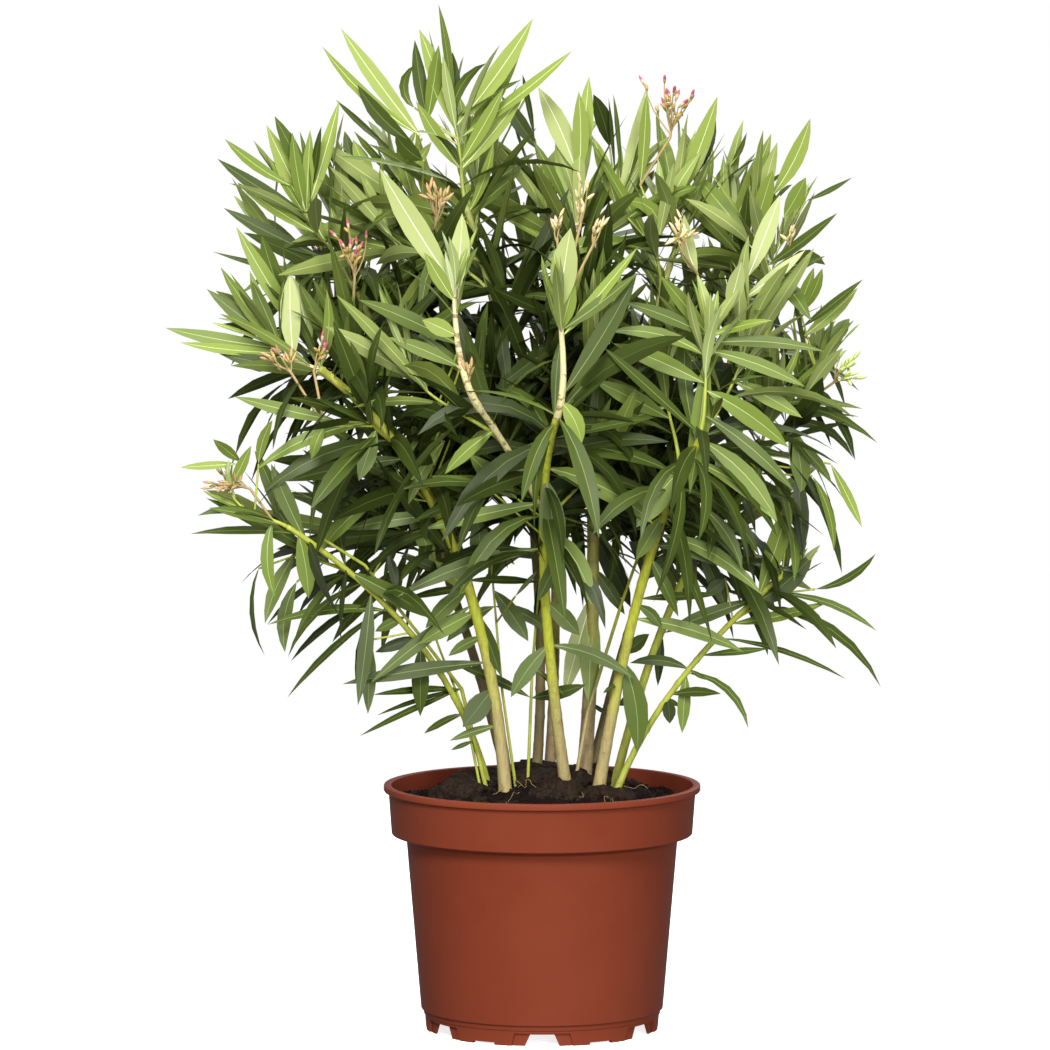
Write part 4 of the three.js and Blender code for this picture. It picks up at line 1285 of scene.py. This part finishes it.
# shoots: each leaves its limb at a slant and rises to its tip, with a radius at both ends
shootShape = {
    "from": 40, "slant": 55, "outward": 0.35, "outwardFrom": 5, "scatter": (-0.2, 0.2), "curve": 0.38,
    "steps": 20, "step": 5, "fewest": 6, "pale": (3.5, 1.9), "girthShare": 0.42, "most": 2.1, "end": 0.75,
    "perchFrom": 4, "perches": 60, "thinSteps": 8, "thinTaper": 0.35, "shootSeed": 5,
}
# the first shoot of these masses has pale skin
paleShoots = ("leaves_front_left", "leaves_front_centre", "leaves_top_centre", "leaves_left")
# thin shoots that rise from the soil by themselves: skin, radius and route
thinShoots = [
    ("fresh", 1.5, [(-21, -6, 196), (-33, -6, 282), (-42, -8, 390)]),
    ("fresh", 1.9, [(-45, -8, 196), (-66, -12, 282), (-92, -30, 318), (-144, -55, 388), (-180, -66, 412)]),
    ("fresh", 1.3, [(-50, -6, 196), (-62, -8, 258), (-84, -12, 315), (-96, -14, 350)]),
    ("fresh", 1.4, [(-12, -6, 196), (-8, -8, 300), (-2, -10, 372)]),
    ("green", 1.8, [(26, 8, 196), (38, 10, 262), (66, 12, 352), (90, 14, 420)]),
]


def joiningPoint(limbs, tip):
    # where on its limb a shoot for this tip leaves, so that it can rise at a natural slant
    best = None
    for limb in limbs:
        for i in range(shootShape["from"], 100):
            t = i / 100
            point = limbPoint(limb, t)
            heading = (limbPoint(limb, min(1, t + 0.01)) - limbPoint(limb, t - 0.01)).normalized()
            cost = (point + heading * shootShape["slant"] - tip).length
            if best is None or cost < best[0]:
                best = (cost, point, heading, limbWidth(limb, t))
    return best[1:]


def growThinShoots(twigs):
    # the thin shoots as tubes; the places along them are given back
    shape, places = shootShape, []
    for kind, thick, route in thinShoots:
        points, steps = [Vector(point) for point in route], shape["thinSteps"]
        line = [a.lerp(b, i / steps) for a, b in zip(points, points[1:]) for i in range(steps)]
        ends = (thick, thick * (1 - shape["thinTaper"]))
        route = enumerate(line + points[-1:])
        twigs[kind].append([(point, passing(ends, i / len(line))) for i, point in route])
        places += line
    return places


def growShoot(draw, plan, spray, box, pale, found):
    # one shoot as a tube, with its leaves
    shape, (low, high) = shootShape, box
    tip = Vector([(low[i] + (high[i] - low[i]) * spray[i] - potAxis[i]) / mm for i in range(3)])
    start, heading, girth = joiningPoint(plan["limbs"], tip)
    outward = Vector((tip.x - shape["outwardFrom"], tip.y, 0)).normalized()
    lean = Vector((draw.uniform(*shape["scatter"]), draw.uniform(*shape["scatter"]), 0))
    pointing = (up + outward * shape["outward"] + lean).normalized()
    at, pieces = shootRoute(start, heading, tip, pointing, shape["curve"]), shape["steps"]
    reach = routeLength(at, pieces)
    settings = {"leafy": growth["leafy"], "size": spray[3], "tone": plan["tone"], "hang": 1}
    settings.update(*spray[4:])
    leavesAlong(draw, at, reach, settings, found)
    ends = shape["pale"] if pale else (min(girth * shape["girthShare"], shape["most"]), shape["end"])
    steps = max(shape["fewest"], int(reach / shape["step"]))
    return [(at(i / steps), passing(ends, i / steps)) for i in range(steps + 1)]


def growCrown():
    shape = shootShape
    twigs, leavesOf = {"fresh": [], "cream": [], "green": []}, {}
    thinPlaces = growThinShoots(twigs)
    for number, (mass, plan) in enumerate(crown.items()):
        found, shoots = [], []
        for index, spray in enumerate(plan["sprays"]):
            draw = random.Random(1000 * number + index + shape["shootSeed"])
            pale = mass in paleShoots and index == 0
            shoots.append(growShoot(draw, plan, spray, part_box(mass), pale, found))
            twigs["cream" if pale else "fresh"].append(shoots[-1])
        if "clothed" in plan:
            limb, draw = plan["limbs"][0], random.Random(77 * number + len(plan["limbs"][0]))
            settings = {"size": growth["limbSize"], "tone": plan["tone"], "hang": 1}
            leavesOnLimb(draw, limb, plan["clothed"], settings, found)
        found = trimCrown(found)
        if mass in chosenLeaves:
            further = chosenLeaves[mass].get("on", [])
            limbs = plan["limbs"] + [limb for limb in further if limb != "thin"]
            shares = [i / shape["perches"] for i in range(shape["perchFrom"], shape["perches"] + 1)]
            perches = [limbPoint(limb, t) for limb in limbs for t in shares]
            perches += thinPlaces if "thin" in further else []
            perches += [point for shoot in shoots for point, radius in shoot]
            placeChosen(mass, perches, twigs["fresh"], found)
        leavesOf[mass] = found
    return twigs, leavesOf


# flower buds: narrow spindles, two to four on each stalk of a branched cluster
budShape = {
    "rings": ((0, 0.3), (0.12, 0.62), (0.3, 0.8), (0.55, 1), (0.8, 0.72), (0.94, 0.3), (1, 0.05)),
    "around": 6, "calyxEnd": 0.3, "petalEnd": 0.62, "length": (8.5, 13), "width": (2.3, 3.3),
    "perStalk": (2, 4), "young": 0.68, "below": 26, "branching": 0.22, "stem": 1.2, "stemSteps": 6,
    "stalk": (0.78, 0.48), "stalkBow": 0.08, "stalkReach": (0.3, 0.75),
    "turn": 2.4, "turnScatter": (-0.3, 0.3), "innermost": 0.4, "tilt": (0.25, 0.25, 0.2),
    "lower": (0.4, 0.95), "roughness": 0.55, "specular": 0.3, "seed": 61,
}
# calyx, petals and tip
budTints = {
    "pink": ("#8f803f", "#c4988a", "#a64c66"), "cream": ("#a09a58", "#c9bf8a", "#cdb08e"),
    "dry": ("#8d8046", "#ad9a5e", "#b08a66"), "green": ("#8c9c48", "#a9b862", "#b9c47c"),
    "young": ("#86803c", "#a8984e", "#b08f58"),
}
# each cluster: its foot, where it points, how far it reaches, its half angle in degrees, its number of
# stalks and its kind
budClusters = [
    ((-86, -60, 664), (0.05, 0, 1), 38, 24, 8, "dry"), ((30, -150, 668), (0.1, 0, 1), 38, 18, 4, "cream"),
    ((12, -150, 652), (-0.1, 0, 1), 26, 24, 3, "cream"), ((40, -150, 652), (0.2, 0, 1), 26, 24, 3, "cream"),
    ((105, 40, 731), (0.12, 0, 1), 60, 40, 11, "pink"), ((111, -130, 646), (0, 0, 1), 36, 26, 6, "cream"),
    ((-152, -40, 620), (-0.1, 0, 1), 44, 32, 8, "pink"), ((-202, -84, 546), (-0.8, 0, 1), 30, 40, 5, "dry"),
    ((-184, -84, 548), (0.4, 0, 1), 26, 16, 3, "pink"), ((-236, -75, 452), (-1, 0, 0.25), 34, 30, 8, "dry"),
    ((-59, -160, 540), (0, 0, 1), 18, 30, 3, "dry"), ((236, -10, 532), (0.7, 0, 0.6), 34, 40, 6, "green"),
    ((202, 0, 640), (0, 0, 1), 16, 26, 3, "cream"), ((-50, 150, 716), (0, 0.1, 1), 40, 30, 8, "pink"),
    ((166, 140, 628), (0.2, 0.2, 1), 38, 30, 7, "cream"),
    ((-180, 150, 612), (-0.2, 0.2, 1), 38, 30, 7, "pink"), ((20, 205, 512), (0, 0.3, 1), 34, 30, 6, "dry"),
]


def makeBudPattern():
    # a lathed spindle along +Z, one long and one wide
    bm = bmesh.new()
    points = [bm.verts.new((radius / 2, 0, z)) for z, radius in budShape["rings"]]
    edges = [bm.edges.new(pair) for pair in zip(points, points[1:])]
    bmesh.ops.spin(bm, geom=points + edges, cent=(0, 0, 0), axis=(0, 0, 1), angle=2 * math.pi,
                   steps=budShape["around"], use_merge=True, use_duplicate=False)
    bmesh.ops.remove_doubles(bm, verts=bm.verts, dist=1e-4)
    bmesh.ops.holes_fill(bm, edges=[e for e in bm.edges if e.is_boundary])
    bmesh.ops.recalc_face_normals(bm, faces=bm.faces)
    for face in bm.faces:
        height = face.calc_center_median().z
        face.material_index = (height >= budShape["calyxEnd"]) + (height >= budShape["petalEnd"])
    return readPattern(bm)


def drawCluster(draw, foot, axis, reach, spread, count, kind, stalks, buds):
    # the stalks of one cluster with the buds on them, the stalks spread evenly about its axis
    plan, fork = budShape, foot + axis * reach * budShape["branching"]
    sideways = axis.cross(Vector((0.2, 1, 0.1))).normalized()
    for k in range(count):
        around = plan["turn"] * k + draw.uniform(*plan["turnScatter"])
        lean = math.radians(spread) * math.sqrt((k + plan["innermost"]) / count)
        across = Matrix.Rotation(around, 3, axis) @ sideways
        heading = axis * math.cos(lean) + across * math.sin(lean)
        span = reach * draw.uniform(*plan["stalkReach"])
        joint = foot.lerp(fork, draw.random())
        end = joint + heading * span
        bow = across * span * plan["stalkBow"]
        stalks.append([(joint.lerp(end, t) + bow * math.sin(math.pi * t), passing(plan["stalk"], t))
                       for t in (0, 0.25, 0.5, 0.75, 1)])
        for b in range(draw.randint(*plan["perStalk"])):
            tilt = Vector([draw.gauss(0, amount) for amount in plan["tilt"]])
            start = end if b == 0 else joint.lerp(end, draw.uniform(*plan["lower"]))
            # of a pink cluster, only the bud at a stalk's end shows its petals
            grown, tint = (plan["young"], "young") if kind == "pink" and b > 0 else (1, kind)
            buds.append({
                "base": tuple(start), "ahead": tuple((heading + tilt * (1 + b)).normalized()),
                "length": grown * draw.uniform(*plan["length"]), "width": draw.uniform(*plan["width"]),
                "slot": list(budTints).index(tint) * 3,
            })


def layBuds(buds, pattern):
    # each bud's spindle laid along its own direction
    base, ahead, length, width = columnsOf(buds, "base", "ahead", "length", "width")
    length, width = length[:, None], width[:, None]
    side = unit(np.cross(ahead, np.array([0.3, 0.8, 0.1])))
    frames = np.stack([side * width, np.cross(ahead, side) * width, ahead * length], axis=1)
    return np.array(potAxis) + (base[:, None] + pattern["points"] @ frames) * mm


def makeBuds(twigs):
    plan, draw = budShape, random.Random(budShape["seed"])
    buds, stalks = [], []
    spots = [point for routes in twigs.values() for route in routes for point, radius in route]
    for foot, toward, reach, spread, count, kind in budClusters:
        foot, axis = Vector(foot), Vector(toward).normalized()
        below = foot - axis * plan["below"]
        near = min(spots, key=lambda spot: (spot - below).length)
        stem = [near.lerp(foot, i / plan["stemSteps"]) for i in range(plan["stemSteps"] + 1)]
        stem.append(foot + axis * reach * plan["branching"])
        stalks.append([(point, plan["stem"]) for point in stem])
        drawCluster(draw, foot, axis, reach, spread, count, kind, stalks, buds)
    pattern = makeBudPattern()
    slots = np.array([bud["slot"] for bud in buds])
    mesh = joinCopies("flower_buds", pattern, layBuds(buds, pattern), slots)
    paints = [plainMaterial(f"bud_{kind}_{part}", tint, plan["roughness"], plan["specular"])
              for kind, tints in budTints.items() for part, tint in zip(("calyx", "petal", "tip"), tints)]
    finishPiece(addObject("flower_buds", mesh, paints), "leaf")
    mesh = tubeMesh("bud_stalks", stalks, 1)
    finishPiece(addObject("bud_stalks", mesh, [barkMaterials["tan"]]), "green_wood")
    print("buds made:", len(buds))


# rootlets: fine loose threads that lie on the soil
rootletShape = {
    "count": 18, "across": (-60, 75), "deep": (-70, 20), "links": 9, "link": 2.6, "radius": 0.2,
    "rise": 4, "wave": 2.5, "waveTurn": 0.8, "bend": 0.5, "seed": 5,
}


def makeRootlets():
    plan, draw = rootletShape, random.Random(rootletShape["seed"])
    routes = []
    for i in range(plan["count"]):
        x, y = draw.uniform(*plan["across"]), draw.uniform(*plan["deep"])
        turn, line = draw.uniform(0, 2 * math.pi), []
        for k in range(plan["links"]):
            rise = plan["rise"] + plan["wave"] * math.sin(k * plan["waveTurn"] + i)
            line.append((Vector((x, y, soilHeight(x, y) + rise)), plan["radius"]))
            x, y = x + math.cos(turn) * plan["link"], y + math.sin(turn) * plan["link"]
            turn += draw.gauss(0, plan["bend"])
        routes.append(line)
    mesh = tubeMesh("soil_rootlets", routes, 0)
    finishPiece(addObject("soil_rootlets", mesh, [barkMaterials["tan"]]), "bark")


def makeFoliage(leavesOf):
    pattern, total = makeLeafPattern(), 0
    for region, members in regions.items():
        leaves = [leaf for mass in members for leaf in leavesOf[mass]]
        slots = np.array([leaf["tone"] * len(leafFinish) for leaf in leaves])
        mesh = joinCopies("foliage_" + region, pattern, layLeaves(leaves, pattern), slots)
        finishPiece(addObject("foliage_" + region, mesh, leafMaterials), "leaf", *members)
        total += len(leaves)
    print("leaves made:", total)


def makeTwigs(twigs):
    for kind, routes in twigs.items():
        mesh = tubeMesh("twigs_" + kind, routes, 1)
        finishPiece(addObject("twigs_" + kind, mesh, [barkMaterials[kind]]), "green_wood")
    print("twigs made")


twigRoutes, leavesByMass = growCrown()
makeBuds(twigRoutes)
makeRootlets()
makeFoliage(leavesByMass)
makeTwigs(twigRoutes)
